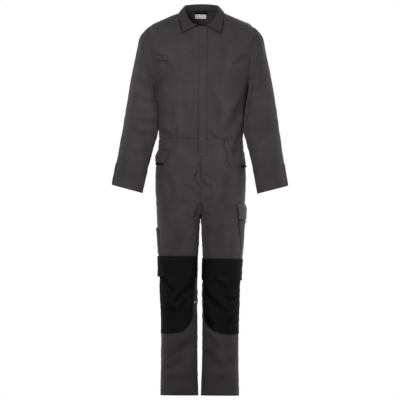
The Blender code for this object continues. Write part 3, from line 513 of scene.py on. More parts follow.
def shape_panel(piece, node):
    places, out = places_of(piece), directions_of(piece)
    where = "arm" if node.startswith(("sleeve", "cuff")) else "body"
    folds = creases_at(places, out, where)
    bunch = np.full(len(places), 0.30)
    for x, y, z, reach, amount in BUNCHED:
        far = np.linalg.norm(places - (x, y, z), axis=1) / reach
        bunch += amount * np.exp(-far ** 2)
    waves = LONG_WAVE * noise_at(places, (11.0, 11.0, 4.0), 3.1) * (0.4 + 0.6 * np.minimum(bunch, 1.0))
    ripples = SHORT_RIPPLE * noise_at(places, (26.0, 26.0, 40.0), 8.7) * np.minimum(bunch, 1.2)
    gap = to_border(piece, places)
    seam = SEAM_PUCKER * noise_at(places, (70.0, 70.0, 70.0), 1.3) * np.exp(-(gap / 0.010) ** 2)
    seam += SEAM_STAND * np.exp(-((gap - 0.0045) / 0.0025) ** 2)
    seam -= SEAM_SINK * np.exp(-(gap / 0.0009) ** 2)
    shoulder = np.hypot(np.abs(places[:, 0]) - SHOULDER_X, places[:, 2] - SHOULDER_Z) / SHOULDER_REACH
    seam *= 1.0 - 0.7 * np.exp(-shoulder ** 2)
    waves *= 1.0 - 0.8 * np.exp(-shoulder ** 2)
    inner = facing(-out[:, 0] * np.sign(places[:, 0]), 0.30, 0.85)
    if node.startswith("leg"):
        waves *= 1.0 - 0.75 * inner * facing(-places[:, 2], 0.95, 1.02)
    near_cuff = facing(-places[:, 2], 0.58, 0.62) if where == "arm" else 0.0
    seam *= 1.0 - 0.8 * near_cuff
    push = folds + waves + ripples + seam
    if where == "arm":
        push += RESTING * inner * np.exp(-((places[:, 2] - RESTING_Z) / RESTING_REACH) ** 2)
    if node.startswith("leg") and node.endswith("left"):
        push += INNER_KNEE * inner * np.exp(-((places[:, 2] - INNER_KNEE_Z) / INNER_KNEE_REACH) ** 2)
    put_places(piece, places + out * push[:, None])
    # Painted shade along the seam edges, less at the cuffs' ends, and painted shade and highlight from the
    # folds and ripples
    painted_shade = 0.9 * (1.0 - near_cuff)
    set_painted_light(piece, folds / 0.0058 + ripples / 0.006 - painted_shade * np.exp(-(gap / 0.0022) ** 2))
    hold(piece)
    bpy.ops.object.shade_smooth()
    return push


for node, piece in cloth.items():
    push = shape_panel(piece, node) * 1000
    print(node, "moved from", round(float(push.min()), 1), "to", round(float(push.max()), 1), "mm")

# %% [markdown]
# ## Sewing the panels edge to edge
# Every panel was refined and creased by itself, so their edges no longer meet exactly and light
# would show through. Each edge point looks for the nearest edge of the other panels. If one is
# close, it moves half the way there, and the neighbour's points do the same. A second round closes
# what the first leaves open where three panels meet. Hems, the neck and the cuffs' ends have no
# neighbour and stay open.

# %% Close the seams
JOIN, JOIN_ABOVE_WAIST, WAIST_Z = 0.0065, 0.0130, -0.50
EDGE_STEPS, SEWING_ROUNDS = 4, 2


def edges_of_panels():
    """Each panel's own edge points, and points along the edges of all panels with their owners."""
    tags, samples, owners = {}, [], []
    for node, piece in cloth.items():
        shape = bmesh.new()
        shape.from_mesh(piece.data)
        tags[node] = [v.index for v in shape.verts if v.is_boundary]
        for edge in shape.edges:
            if edge.is_boundary:
                a, b = edge.verts[0].co, edge.verts[1].co
                samples += [a.lerp(b, step / EDGE_STEPS) for step in range(EDGE_STEPS)]
                owners += [node] * EDGE_STEPS
        shape.free()
    return tags, samples, owners


def sew():
    tags, samples, owners = edges_of_panels()
    moved = {}
    for node, piece in cloth.items():
        others = [p for p, owner in zip(samples, owners) if owner != node]
        tree = kdtree.KDTree(len(others))
        for count, place in enumerate(others):
            tree.insert(place, count)
        tree.balance()
        places, joined = places_of(piece), 0
        for index in tags[node]:
            near, _, far = tree.find(places[index])
            if far < (JOIN_ABOVE_WAIST if places[index][2] > WAIST_Z else JOIN):
                places[index] = (places[index] + np.array(near)) / 2
                joined += 1
        moved[node] = places
        print(node, joined, "of", len(tags[node]), "edge points sewn")
    for node, places in moved.items():
        put_places(cloth[node], places)


for count in range(SEWING_ROUNDS):
    sew()

# %% [markdown]
# ## Pockets, flaps and tabs lie on the cloth under them
# Everything sewn on top takes its outline from its own solid and its creases from the panel that
# carries it. From each of its points a ray is cast down on that panel, the point is laid where the
# ray lands, and then lifted along the cloth: a hair where it is stitched down, and further where it
# gapes. It can't dip through the panel, and both crease alike, as they do on a real suit.

# %% Lay a patch on the panels
LAYER_GAP = 0.0005
THICK = 0.0016
REACH = 0.020
patches = {}


def tree_of(piece):
    """A fast search tree over the faces of one sheet."""
    return BVHTree.FromPolygons([v.co.copy() for v in piece.data.vertices],
                                [tuple(p.vertices) for p in piece.data.polygons])


def landing(trees, place, out):
    """Where a ray cast down on the panels lands, from a little way outside."""
    hits = [tree.ray_cast(place + out * REACH, -out, 2 * REACH)[0] for tree in trees]
    hits = [hit for hit in hits if hit is not None]
    if hits:
        return max(hits, key=lambda hit: hit.dot(out))
    near = [tree.find_nearest(place) for tree in trees]
    return min(near, key=lambda found: found[3])[0]


panel_trees = {node: tree_of(piece) for node, piece in cloth.items()}


def lay_patch(name, under, lift=None, smooth=4, paler=0.0, move=(0.0, 0.0, 0.0), rounds=2):
    """A sheet with this solid's outline, laid on the panels and moved out by lift."""
    piece = outer_side(name)
    settings = dict(levels=rounds, render_levels=rounds, boundary_smooth="PRESERVE_CORNERS")
    apply_modifier(piece, "SUBSURF", **settings)
    trees = [panel_trees[node] for node in under]
    places, out = places_of(piece), directions_of(piece)
    landed = [landing(trees, Vector(p), Vector(o)) for p, o in zip(places, out)]
    put_places(piece, np.array(landed))
    apply_modifier(piece, "SMOOTH", factor=0.5, iterations=smooth)
    places, out = places_of(piece), directions_of(piece)
    under_it = np.array([landing(trees, Vector(p), Vector(o)) for p, o in zip(places, out)])
    short = np.maximum(0.0, ((under_it - places) * out).sum(axis=1))
    rise = LAYER_GAP + THICK + short + (lift(places) if lift else 0.0)
    moved = places + out * np.broadcast_to(rise, len(places))[:, None]
    put_places(piece, moved + np.array(move))
    # Painted shade and highlight from the folds under the patch, plus what paler adds: a painted shadow on
    # the cargo pocket, a painted highlight on its flap
    set_painted_light(piece, creases_at(places, out, "arm" if "cuff" in name else "body") / 0.0050
             + (paler(places) if callable(paler) else paler))
    hold(piece)
    bpy.ops.object.shade_smooth()
    patches[name] = piece
    print(name, len(piece.data.polygons), "faces")
    return piece


def share(values, low, high):
    """0 at the low limit and 1 at the high one."""
    return np.clip((values - low) / (high - low), 0.0, 1.0)


# %% [markdown]
# ## The front closing, the loops and the hip pockets
# The placket is an extension of the wearer's left front. On its stitched side it runs level into
# that front, and on its free side it stands proud and covers the fastening, which casts the thin
# dark line down the middle of the suit. The loops are held only at their ends and bow out between.
# Of each hip pocket only the facing in its slanted mouth shows, and under it a black bar of
# reinforcement where the mouth ends.

# %% Placket, loops and hip pockets
FRONTS = ("front_left", "front_right", "leg_front_left", "leg_front_right")
LEFT_LEG = ("leg_front_left", "leg_back_left")
RIGHT_LEG = ("leg_front_right", "leg_back_right")


def placket_lift(places):
    free = 1.0 - share(places[:, 0], 0.004, 0.0235)
    wave = 0.0006 * noise_at(places, (5.0, 5.0, 14.0), 2.0)
    return free * (0.0006 + wave)


def bow(axis, low, high, height):
    """Level at both ends and proud in the middle."""
    return lambda places: height * np.sin(np.pi * share(places[:, axis], low, high))


lay_patch("fly_placket", FRONTS, placket_lift)
lay_patch("chest_loop", ("front_right",), bow(0, -0.197, -0.146, 0.0028), smooth=1)
lay_patch("waist_loop", ("leg_front_left",), bow(2, -0.583, -0.5372, 0.0030), smooth=1)

HipPocket = namedtuple("HipPocket", "inner foot top stand_off tack_rise")
HIPS = {
    "left": HipPocket(0.138, -0.650, -0.585, 0.002, 0.008),
    "right": HipPocket(0.158, -0.6375, -0.580, 0.008, 0.004),
}
for side, hip in HIPS.items():
    leg = ("leg_front_" + side, "leg_back_" + side)

    def facing_lift(places):
        outwards = share(np.abs(places[:, 0]), hip.inner, 0.185)
        return hip.stand_off * outwards * np.sin(np.pi * share(places[:, 2], hip.foot, hip.top))

    lay_patch("pocket_facing_" + side, leg, facing_lift, smooth=2)
    lay_patch("pocket_tack_" + side, leg, lambda places: 0.0028, smooth=2, move=(0.0, 0.0, hip.tack_rise))

# %% [markdown]
# ## The pockets on the thighs and knees
# The cargo pocket wraps the side of the thigh. Its mouth gapes a few millimetres, its flap stands
# over the mouth, and a short strap hangs from the flap. The long narrow rule pocket on the other
# thigh gapes at its top too. The knee pockets are of a tough black cloth, with rounded lower inner
# corners, and a deep flap of the same cloth hangs over the top of each.

# %% Thigh and knee pockets
def shade_under_flap(places):
    """A dark line on the cargo pocket where its flap ends."""
    return -0.1 - 2.4 * np.exp(-((places[:, 2] + 0.8735) / 0.0040) ** 2)


def stand_over_mouth(places):
    return 0.0068 * (1 - share(places[:, 2], -0.823, -0.805))


lay_patch("cargo_pocket", LEFT_LEG, lambda places: 0.0040 * share(places[:, 2], -0.999, -0.835) ** 2,
          paler=shade_under_flap)
# The flap is painted paler, a painted highlight of the side light
lay_patch("cargo_flap", LEFT_LEG, stand_over_mouth, paler=1.4)
lay_patch("cargo_tab", LEFT_LEG, lambda places: 0.0060)
lay_patch("rule_pocket", RIGHT_LEG, lambda places: 0.0045 * share(places[:, 2], -1.020, -0.9165) ** 2)

KneeFlap = namedtuple("KneeFlap", "foot top flare")
KNEES = {"left": KneeFlap(-1.1320, -1.0370, 0.003), "right": KneeFlap(-1.1160, -1.0290, 0.006)}
for side, knee in KNEES.items():
    leg = ("leg_front_" + side, "leg_back_" + side)
    lay_patch("knee_pocket_" + side, leg)

    def flap_lift(places):
        outwards = share(np.abs(places[:, 0]), 0.120, 0.172)
        fallen = 1 - share(places[:, 2], knee.foot, knee.top)
        hang = 0.0014 + 0.0012 * noise_at(places, (14.0, 14.0, 9.0), 5.5)
        hang = hang * share(np.abs(places[:, 0]), 0.02, 0.08)
        return LAYER_GAP + THICK + knee.flare * outwards * fallen + hang * fallen ** 2

    lay_patch("knee_flap_" + side, leg, flap_lift)
    lay_patch("inseam_tab_" + side, leg, smooth=2)

# %% [markdown]
# ## Cuff tabs and neck labels
# A small tab closes each cuff at its outer back. Inside the back of the neck hang two labels, a
# short black one over a longer white one. Both are bare. They lie on the inner side of the yoke, so
# they move inwards.

# %% Cuff tabs and labels
LABEL_THICK = 0.0008
for side in ("left", "right"):
    lay_patch("cuff_tab_" + side, ("cuff_" + side,), smooth=1)


def inside(depth):
    return lambda places: np.full(len(places), -depth - LAYER_GAP - THICK)


lay_patch("care_label", ("yoke",), inside(CLOTH + 0.0005), smooth=1, move=(-0.0050, 0.0, 0.0006))
lay_patch("neck_label", ("yoke",), inside(CLOTH + 0.0005 + LABEL_THICK + 0.0003), smooth=1,
          move=(-0.0040, -0.0012, 0.0022))

# %% [markdown]
# ## The collar
# The collar is one bent sheet: it rises from the neck seam, turns over, and falls to its points.
# The solid already has that shape, so its outer side is refined like a panel's. That side is the
# face towards the neck on the stand, and the face that shows on the fall.

# %% Collar
collar = outer_side("collar")
flat_size["collar"], flat_area["collar"] = unwrap(collar)
refine(collar, 2, passes=1)
places, out = places_of(collar), directions_of(collar)
gap = to_border(collar, places)
push = 0.0012 * noise_at(places, (20.0, 20.0, 20.0), 4.4) * share(gap, 0.0, 0.02)
push += 0.0004 * noise_at(places, (80.0, 80.0, 80.0), 6.1) * np.exp(-(gap / 0.008) ** 2)
put_places(collar, places + out * push[:, None])
hold(collar)
bpy.ops.object.shade_smooth()
# Painted light on the collar: painted shade over all of it, darkest along its edges, and painted highlight
# on its ridges
set_painted_light(collar, push / 0.003 - 0.35 - 0.5 * np.exp(-(gap / 0.0015) ** 2))
print("collar", len(collar.data.polygons), "faces")

# %% [markdown]
# ## Lines where a sewn-on piece ends
# Along the edge of a pocket, a flap or the collar the cloth under it gets a narrow painted shadow line. On
# the wearer's left thigh, above the cargo pocket, a painted highlight pales the side where light falls.

# %% Painted shadow along the edges
EDGE_SHADOW, SHADOW_WIDTH, SHADOW_REACH = 0.95, 0.0026, 0.0030
COLLAR_SHADE, COLLAR_REACH = 2.0, 0.0050
rim_points, rim_shadow = [], []


def edge_shadow(piece, place):
    """How dark the painted shadow is: more along the placket's free edge low down, and along its stitched
    edge high up.
    """
    if piece.name.startswith("fly_placket"):
        if place.z < -0.59:
            return 0.3
        if place.x < 0.004:
            return 0.25 + 0.75 * float(share(np.array(-place.z), 0.30, 0.44))
        return 1.0 - 0.6 * float(share(np.array(-place.z), 0.16, 0.30))
    return EDGE_SHADOW


for piece in patches.values():
    if piece.name.startswith(("care_label", "neck_label")):
        continue
    shape = bmesh.new()
    shape.from_mesh(piece.data)
    rim = [(e.verts[0].co + e.verts[1].co) / 2 for e in shape.edges if e.is_boundary]
    rim += [v.co.copy() for v in shape.verts if v.is_boundary]
    rim_points += rim
    rim_shadow += [edge_shadow(piece, place) for place in rim]
    shape.free()
rim_tree = kdtree.KDTree(len(rim_points))
for count, place in enumerate(rim_points):
    rim_tree.insert(place, count)
rim_tree.balance()
collar_tree = kdtree.KDTree(len(collar.data.vertices))
for count, vertex in enumerate(collar.data.vertices):
    collar_tree.insert(vertex.co, count)
collar_tree.balance()
for node, piece in cloth.items():
    places = places_of(piece)
    painted_light = np.empty(len(places))
    piece.data.attributes["painted_light"].data.foreach_get("value", painted_light)
    found = [rim_tree.find(place) for place in places]
    far = np.array([hit[2] for hit in found])
    painted_shade = np.array([rim_shadow[hit[1]] for hit in found])
    painted_light -= painted_shade * np.exp(-(np.maximum(far - SHADOW_REACH, 0.0) / SHADOW_WIDTH) ** 2)
    if node.startswith("front"):
        under = np.array([collar_tree.find(place)[2] for place in places])
        painted_light -= COLLAR_SHADE * np.exp(-(np.maximum(under - COLLAR_REACH, 0.0) / SHADOW_WIDTH) ** 2)
    if node in LEFT_LEG:
        # Painted highlight on the side of the left thigh, where the low lamp's light falls
        painted_side_highlight = facing(places[:, 0], 0.166, 0.184) * facing(-places[:, 2], 0.655, 0.690)
        painted_light += 2.2 * painted_side_highlight * (1 - facing(-places[:, 2], 0.780, 0.850))
    set_painted_light(piece, painted_light)
print(len(rim_points), "points along edges hold dust")

# %% [markdown]
# ## One stitch, sewn in rows
# A stitch is a small round bar with thin ends, a little over two millimetres long. It is modelled
# once. A row follows a sheet's open edge at a set distance, as a sewing machine's foot does, and
# every stitch is laid flat on the cloth under it.

# %% The stitch
STITCH_PITCH, STITCH_LENGTH, STITCH_WIDTH = 0.0032, 0.0024, 0.0006
bpy.ops.object.select_all(action="DESELECT")
bpy.ops.mesh.primitive_ico_sphere_add(subdivisions=1, radius=0.5)
bpy.ops.transform.resize(value=(STITCH_LENGTH, STITCH_WIDTH, STITCH_WIDTH * 0.7))
bpy.ops.object.transform_apply(location=True, rotation=True, scale=True)
one_stitch = bpy.context.object
STITCH_POINTS = places_of(one_stitch)
STITCH_FACES = [tuple(face.vertices) for face in one_stitch.data.polygons]
bpy.data.objects.remove(one_stitch)
stitches = {"body": [], "trousers": [], "pockets": [], "black": []}
print("a stitch has", len(STITCH_FACES), "faces")


def sheet_of(node):
    return collar if node == "collar" else cloth[node] if node in cloth else patches[node]


def edge_runs(piece, keep):
    """The stretches of a sheet's open edge that pass a test, split at sharp corners."""
    shape = bmesh.new()
    shape.from_mesh(piece.data)
    # Kept in the mesh's own order, because a set's order changes from run to run
    left = dict.fromkeys(edge for edge in shape.edges if edge.is_boundary)
    loops = []
    while left:
        edge = next(iter(left))
        del left[edge]
        chain = [edge.verts[0], edge.verts[1]]
        while True:
            onward = [e for e in chain[-1].link_edges if e in left]
            if not onward:
                break
            del left[onward[0]]
            chain.append(onward[0].other_vert(chain[-1]))
        loops.append([np.array(v.co) for v in chain])
    shape.free()
    runs = []
    for loop in loops:
        kept = [keep(p) for p in loop]
        if all(kept) or not any(kept):
            start = 0
        else:
            start = kept.index(False)
        ring = loop[start:] + loop[1:start + 1] if start else loop
        flags = kept[start:] + kept[1:start + 1] if start else kept
        run = []
        for place, flag in zip(ring, flags):
            if not flag:
                runs.append(run)
                run = []
                continue
            if len(run) > 2:
                before, after = run[-1] - run[-3], place - run[-1]
                turn = before @ after / (np.linalg.norm(before) * np.linalg.norm(after) + 1e-12)
                if turn < 0.55:
                    runs.append(run)
                    run = [run[-1]]
            run.append(place)
        runs.append(run)
    return [np.array(run) for run in runs if len(run) > 3]


def evenly(line, pitch):
    """Points along a line, one pitch apart."""
    steps = np.linalg.norm(np.diff(line, axis=0), axis=1)
    far = np.concatenate([[0.0], np.cumsum(steps)])
    if far[-1] < 3 * pitch:
        return None
    at = np.linspace(0.0, far[-1], int(round(far[-1] / pitch)) + 1)
    return np.column_stack([np.interp(at, far, line[:, axis]) for axis in range(3)])


def lay_stitches(line, tree, group, length=STITCH_LENGTH):
    """One stitch on each pitch of a line, flat on the sheet."""
    for a, b in zip(line[:-1], line[1:]):
        near, normal, _, _ = tree.find_nearest(Vector((a + b) / 2))
        run = np.array(b - a)
        normal = np.array(normal)
        run = run - (run @ normal) * normal
        size = np.linalg.norm(run)
        if size < 1e-6:
            continue
        run /= size
        side = np.cross(normal, run)
        turn = np.column_stack([run * (length / STITCH_LENGTH), side, normal])
        stitches[group].append(STITCH_POINTS @ turn.T + np.array(near) + normal * STITCH_WIDTH * 0.2)


def edge_rows(node, insets, group, keep=lambda place: True):
    """Rows that follow a sheet's edge at the given distances."""
    piece = sheet_of(node)
    tree = tree_of(piece)
    for run in edge_runs(piece, keep):
        line = evenly(run, STITCH_PITCH)
        if line is None:
            continue
        along = np.gradient(line, axis=0)
        along /= np.linalg.norm(along, axis=1)[:, None]
        normals = np.array([tree.find_nearest(Vector(p))[1] for p in line])
        inward = np.cross(normals, along)
        test = len(line) // 2
        trial = 0.004 * inward[test]
        reach = [tree.find_nearest(Vector(line[test] + way * trial))[3] for way in (1, -1)]
        inward *= 1 if reach[0] < reach[1] else -1
        for inset in insets:
            trim = int(math.ceil(inset / STITCH_PITCH))
            row = (line + inward * inset)[trim:len(line) - trim]
            if len(row) > 3:
                lay_stitches(row, tree, group)


# %% [markdown]
# ## Where the rows run
# The strong seams of workwear are sewn with two needles: arm holes, yoke, side seams and the seats
# of the pockets. The waist, the cuffs, the hems and the flaps' edges have a single row.

# %% Rows along the seams
TWIN, SINGLE, CLOSE, HEM = (0.0026, 0.0086), (0.0030,), (0.0026,), (0.020,)


def band(low, high):
    """Keeps what lies between two heights."""
    return lambda p: low < p[2] < high


def at_side(sign, inner, low, high):
    """Keeps what lies between two heights and further out than a line, on one side of the suit."""
    return lambda p: p[0] * sign > inner and low < p[2] < high


ABOVE = 1.0
for side, sign in (("left", 1.0), ("right", -1.0)):
    edge_rows("front_" + side, TWIN, "body", at_side(sign, 0.150, -0.29, ABOVE))
    edge_rows("front_" + side, CLOSE, "body", at_side(sign, 0.120, -0.50, -0.30))
    edge_rows("sleeve_back_" + side, TWIN, "body", lambda p: p[1] > -0.02 and -0.60 < p[2] < -0.14)
    edge_rows("cuff_" + side, SINGLE, "body")
    edge_rows("leg_front_" + side, SINGLE, "trousers", band(-0.56, ABOVE))
    edge_rows("leg_back_" + side, SINGLE, "trousers", band(-0.56, ABOVE))
    edge_rows("leg_back_" + side, TWIN, "trousers", at_side(sign, 0.10, -1.60, -0.56))
    edge_rows("leg_front_" + side, CLOSE, "trousers", lambda p: p[0] * sign < 0.10 and -1.60 < p[2] < -0.84)
    edge_rows("leg_front_" + side, HEM, "trousers", lambda p: p[2] < -1.61)
    edge_rows("leg_back_" + side, HEM, "trousers", lambda p: p[2] < -1.61)
edge_rows("back", TWIN, "body", lambda p: abs(p[0]) > 0.150 and p[2] > -0.29)
edge_rows("yoke", TWIN, "body", lambda p: abs(p[0]) > 0.06 or p[1] > 0.07)
edge_rows("leg_front_left", TWIN, "trousers", lambda p: abs(p[0]) < 0.012 and -0.80 < p[2] < -0.60)
edge_rows("leg_back_left", TWIN, "trousers", lambda p: abs(p[0]) < 0.012 and -0.80 < p[2] < -0.56)
edge_rows("collar", (0.0050,), "body", lambda p: p[2] < -0.02 or p[1] < -0.05)
print({group: len(made) for group, made in stitches.items()}, "stitches")

# %% [markdown]
# ## Rows round what is sewn on
# A patch is held by the rows just inside its edge, so they show what is stitched down. The cargo,
# rule and knee pockets have none along the mouth, because it opens. The knee pockets and their flaps
# are sewn with black thread.

# %% Rows round the pockets and tabs
edge_rows("fly_placket", (0.0028,), "body")
for side, top in (("left", -1.074), ("right", -1.069)):
    edge_rows("knee_pocket_" + side, TWIN, "black", lambda p: p[2] < top)
    edge_rows("knee_flap_" + side, TWIN, "black")
    edge_rows("pocket_facing_" + side, SINGLE, "pockets")
    edge_rows("cuff_tab_" + side, SINGLE, "body")
edge_rows("cargo_pocket", TWIN, "pockets", lambda p: p[2] < -0.84)
edge_rows("cargo_flap", TWIN, "pockets")
edge_rows("cargo_tab", SINGLE, "pockets")
edge_rows("rule_pocket", TWIN, "pockets", lambda p: p[2] < -0.922)
edge_rows("waist_loop", CLOSE, "trousers")
edge_rows("chest_loop", CLOSE, "body")
print({group: len(made) for group, made in stitches.items()}, "stitches")

# %% [markdown]
# ## Bar tacks
# Where a pocket corner or a loop's end takes a pull, the machine sews to and fro on one spot. A
# tack is a dozen stitches side by side.

# %% Bar tacks
Tack = namedtuple("Tack", "node x z run_x run_z")
TACKS = [
    Tack("chest_loop", -0.1930, -0.1895, 0.0, 1.0),
    Tack("chest_loop", -0.1500, -0.1895, 0.0, 1.0),
    Tack("waist_loop", 0.1130, -0.5415, 1.0, 0.0),
    Tack("waist_loop", 0.1130, -0.5790, 1.0, 0.0),
    Tack("front_right", -0.0850, -0.3270, 1.0, 0.1),
    Tack("front_right", -0.0700, -0.2760, 0.0, 1.0),
    Tack("leg_front_left", 0.1130, -0.5900, 0.0, 1.0),
    Tack("leg_front_left", 0.1460, -0.6560, 1.0, -0.3),
    Tack("leg_front_right", -0.1370, -0.5860, 0.0, 1.0),
    Tack("leg_front_right", -0.1300, -0.6230, 1.0, 0.4),
    Tack("leg_front_right", -0.1000, -0.5790, 1.0, 0.0),
    Tack("leg_front_left", 0.0350, -0.5790, 1.0, 0.0),
    Tack("knee_flap_left", 0.0300, -1.0420, 0.0, 1.0),
    Tack("knee_flap_left", 0.1600, -1.0440, 0.0, 1.0),
    Tack("knee_flap_right", -0.0300, -1.0350, 0.0, 1.0),
    Tack("knee_flap_right", -0.1600, -1.0380, 0.0, 1.0),
    Tack("fly_placket", 0.0060, -0.5960, 1.0, 0.0),
    Tack("fly_placket", 0.0050, -0.5360, 1.0, 0.0),
    Tack("cargo_flap", 0.1640, -0.8130, 0.2, 1.0),
    Tack("leg_front_left", 0.0060, -0.6480, 1.0, 0.0),
]
TACK_STITCHES, TACK_PITCH, TACK_LENGTH = 12, 0.0009, 0.0030
for tack in TACKS:
    tree = tree_of(sheet_of(tack.node))
    hit, normal, _, _ = tree.ray_cast(Vector((tack.x, -0.4, tack.z)), Vector((0.0, 1.0, 0.0)))
    if hit is None:
        print("no cloth under the tack on", tack.node)
        continue
    run = np.array((tack.run_x, 0.0, tack.run_z)) / math.hypot(tack.run_x, tack.run_z)
    cross = np.cross(np.array(normal), run)
    for count in range(TACK_STITCHES):
        middle = np.array(hit) + run * (count - TACK_STITCHES / 2) * TACK_PITCH
        ends = np.array([middle - cross * TACK_LENGTH / 2, middle + cross * TACK_LENGTH / 2])
        lay_stitches(ends, tree, "black" if tack.node.startswith("knee") else "pockets", TACK_LENGTH)
print(len(TACKS), "tacks")

# %% [markdown]
# ## Charcoal twill
# The suit is a polyester and cotton twill: a dark grey with fine slanting ribs, a soft nap that catches
# light at its edges, and small differences in tone where the dye took unevenly. The ribs follow the UV map,
# which is in metres, so they keep their real size. The uneven tone and the nap's clouding are noise at two
# scales. The painted light kept with each sheet is painted shade that darkens the troughs and seam edges,
# and a painted highlight that pales the ridges.

# %% Cloth materials
def new_material(name):
    made = bpy.data.materials.new(name)
    made.use_nodes = True
    return made, made.node_tree, made.node_tree.nodes["Principled BSDF"]


def add_node(tree, kind, **settings):
    added = tree.nodes.new(kind)
    for key, value in settings.items():
        if key in added.inputs:
            added.inputs[key].default_value = value
        else:
            setattr(added, key, value)
    return added


def maths(tree, operation, first, second=None):
    """One sum on two values, each a number or another node's output."""
    added = tree.nodes.new("ShaderNodeMath")
    added.operation = operation
    for place, value in enumerate((first, second)):
        if value is None:
            continue
        if isinstance(value, (int, float)):
            added.inputs[place].default_value = value
        else:
            tree.links.new(value, added.inputs[place])
    return added.outputs[0]


def noise_value(tree, vector, scale, detail=3.0):
    added = add_node(tree, "ShaderNodeTexNoise", Scale=scale, Detail=detail)
    tree.links.new(vector, added.inputs["Vector"])
    return added.outputs["Fac"]


def shades(tree, factor, stops):
    """A colour ramp from (place, grey or colour) pairs."""
    ramp = tree.nodes.new("ShaderNodeValToRGB")
    while len(ramp.color_ramp.elements) < len(stops):
        ramp.color_ramp.elements.new(0.5)
    for element, (place, colour) in zip(ramp.color_ramp.elements, stops):
        element.position = place
        element.color = (*colour, 1.0)
    tree.links.new(factor, ramp.inputs["Fac"])
    return ramp.outputs["Color"]


def woven(name, dark, light, roughness, sheen, thread, slant, relief, gloss=0.25, painted_light_strength=0.30):
    """Cloth whose threads run along the UV map; slant is 1 for a twill and 0 for a plain weave."""
    made, tree, shader = new_material(name)
    uv = tree.nodes.new("ShaderNodeUVMap").outputs["UV"]
    place = tree.nodes.new("ShaderNodeTexCoord").outputs["Object"]
    split = tree.nodes.new("ShaderNodeSeparateXYZ")
    tree.links.new(uv, split.inputs[0])
    across, along = split.outputs["X"], split.outputs["Y"]
    turn = 2 * math.pi / thread
    if slant:
        rib = maths(tree, "SINE", maths(tree, "MULTIPLY", maths(tree, "ADD", across, along), turn))
        fine = maths(tree, "MULTIPLY", maths(tree, "SUBTRACT", along, across), turn * 1.7)
        yarn = maths(tree, "MULTIPLY", maths(tree, "SINE", fine), 0.15)
        weave = maths(tree, "ADD", maths(tree, "MULTIPLY", rib, 0.35), yarn)
    else:
        weft = maths(tree, "SINE", maths(tree, "MULTIPLY", across, turn))
        warp = maths(tree, "SINE", maths(tree, "MULTIPLY", along, turn))
        weave = maths(tree, "MULTIPLY", maths(tree, "MULTIPLY", weft, warp), 0.5)
    cloud = noise_value(tree, place, 14.0, 4.0)
    nap = noise_value(tree, place, 260.0, 2.0)
    mixed = maths(tree, "ADD", maths(tree, "MULTIPLY", cloud, 0.62), maths(tree, "MULTIPLY", nap, 0.28))
    mixed = maths(tree, "ADD", mixed, maths(tree, "MULTIPLY", weave, 0.10))
    colour = shades(tree, mixed, [(0.25, dark), (0.75, light)])
    # The painted light kept with the sheet scales the colour: painted shade below one, painted highlight
    # above
    painted_light = add_node(tree, "ShaderNodeAttribute", attribute_name="painted_light").outputs["Fac"]
    amount = maths(tree, "MAXIMUM", maths(tree, "ADD", maths(tree, "MULTIPLY", painted_light, painted_light_strength), 1.0), 0.15)
    paled = tree.nodes.new("ShaderNodeVectorMath")
    paled.operation = "SCALE"
    tree.links.new(colour, paled.inputs["Vector"])
    tree.links.new(amount, paled.inputs["Scale"])
    tree.links.new(paled.outputs["Vector"], shader.inputs["Base Color"])
    bump = add_node(tree, "ShaderNodeBump", Strength=0.6, Distance=relief)
    tree.links.new(maths(tree, "ADD", weave, maths(tree, "MULTIPLY", nap, 0.8)), bump.inputs["Height"])
    tree.links.new(bump.outputs["Normal"], shader.inputs["Normal"])
    shader.inputs["Roughness"].default_value = roughness
    shader.inputs["Specular IOR Level"].default_value = gloss
    shader.inputs["Sheen Weight"].default_value = sheen
    shader.inputs["Sheen Roughness"].default_value = 0.5
    return made


TWILL = woven("charcoal_twill_weave", (0.0364, 0.0323, 0.0336), (0.0606, 0.0537, 0.0551), 0.88, 0.10,
              0.0011, 1, 0.0002, painted_light_strength=0.36)
CORDURA = woven("black_cordura_weave", (0.0034, 0.0033, 0.0034), (0.0078, 0.0076, 0.0077), 0.80, 0.0,
                0.0016, 0, 0.0003, gloss=0.12, painted_light_strength=1.5)
WHITE_LABEL = woven("white_label_weave", (0.84, 0.84, 0.83), (0.93, 0.93, 0.92), 0.60, 0.0,
                    0.0006, 0, 0.00005)
BLACK_LABEL = woven("black_label_weave", (0.010, 0.010, 0.011), (0.020, 0.020, 0.021), 0.55, 0.0,
                    0.0006, 0, 0.00005)
REFLECTIVE = woven("grey_reflective_weave", (0.50, 0.50, 0.505), (0.74, 0.74, 0.745), 0.42, 0.0,
                   0.0008, 0, 0.00008)
REFLECTIVE.node_tree.nodes["Principled BSDF"].inputs["Metallic"].default_value = 0.35
THREAD = woven("charcoal_thread", (0.055, 0.053, 0.053), (0.105, 0.100, 0.100), 0.62, 0.15,
               0.0006, 1, 0.0001)
BLACK_THREAD = woven("black_thread", (0.010, 0.010, 0.010), (0.022, 0.021, 0.022), 0.62, 0.0,
                     0.0006, 1, 0.0001)
print(len(bpy.data.materials), "materials")

# %% [markdown]
# ## Thickness, finish and cut of every piece
# Now that everything lies in place, each sheet gets its cloth's thickness, inwards from the face that was
# shaped. Each takes the place of its solid, and its cut is worked out and printed: the flat width and
# length of the pattern piece, and its area. The black tacks and the inseam tabs are 8.6 to 9.3 mm wide. A
# sheet can't be declared narrower than 10 mm. Those four are declared a little too wide.

# %% Finish the sheets
CLOTH_OF = {
    "pocket_tack": ("black_cordura", CORDURA), "knee_pocket": ("black_cordura", CORDURA),
    "knee_flap": ("black_cordura", CORDURA), "care_label": ("white_label", WHITE_LABEL),
    "neck_label": ("black_label", BLACK_LABEL), "inseam_tab": ("grey_reflective", REFLECTIVE),
}
PLAIN = ("charcoal_twill", TWILL)
COLLAR_WALL = 0.0012
SOFT_TURN = math.radians(48)


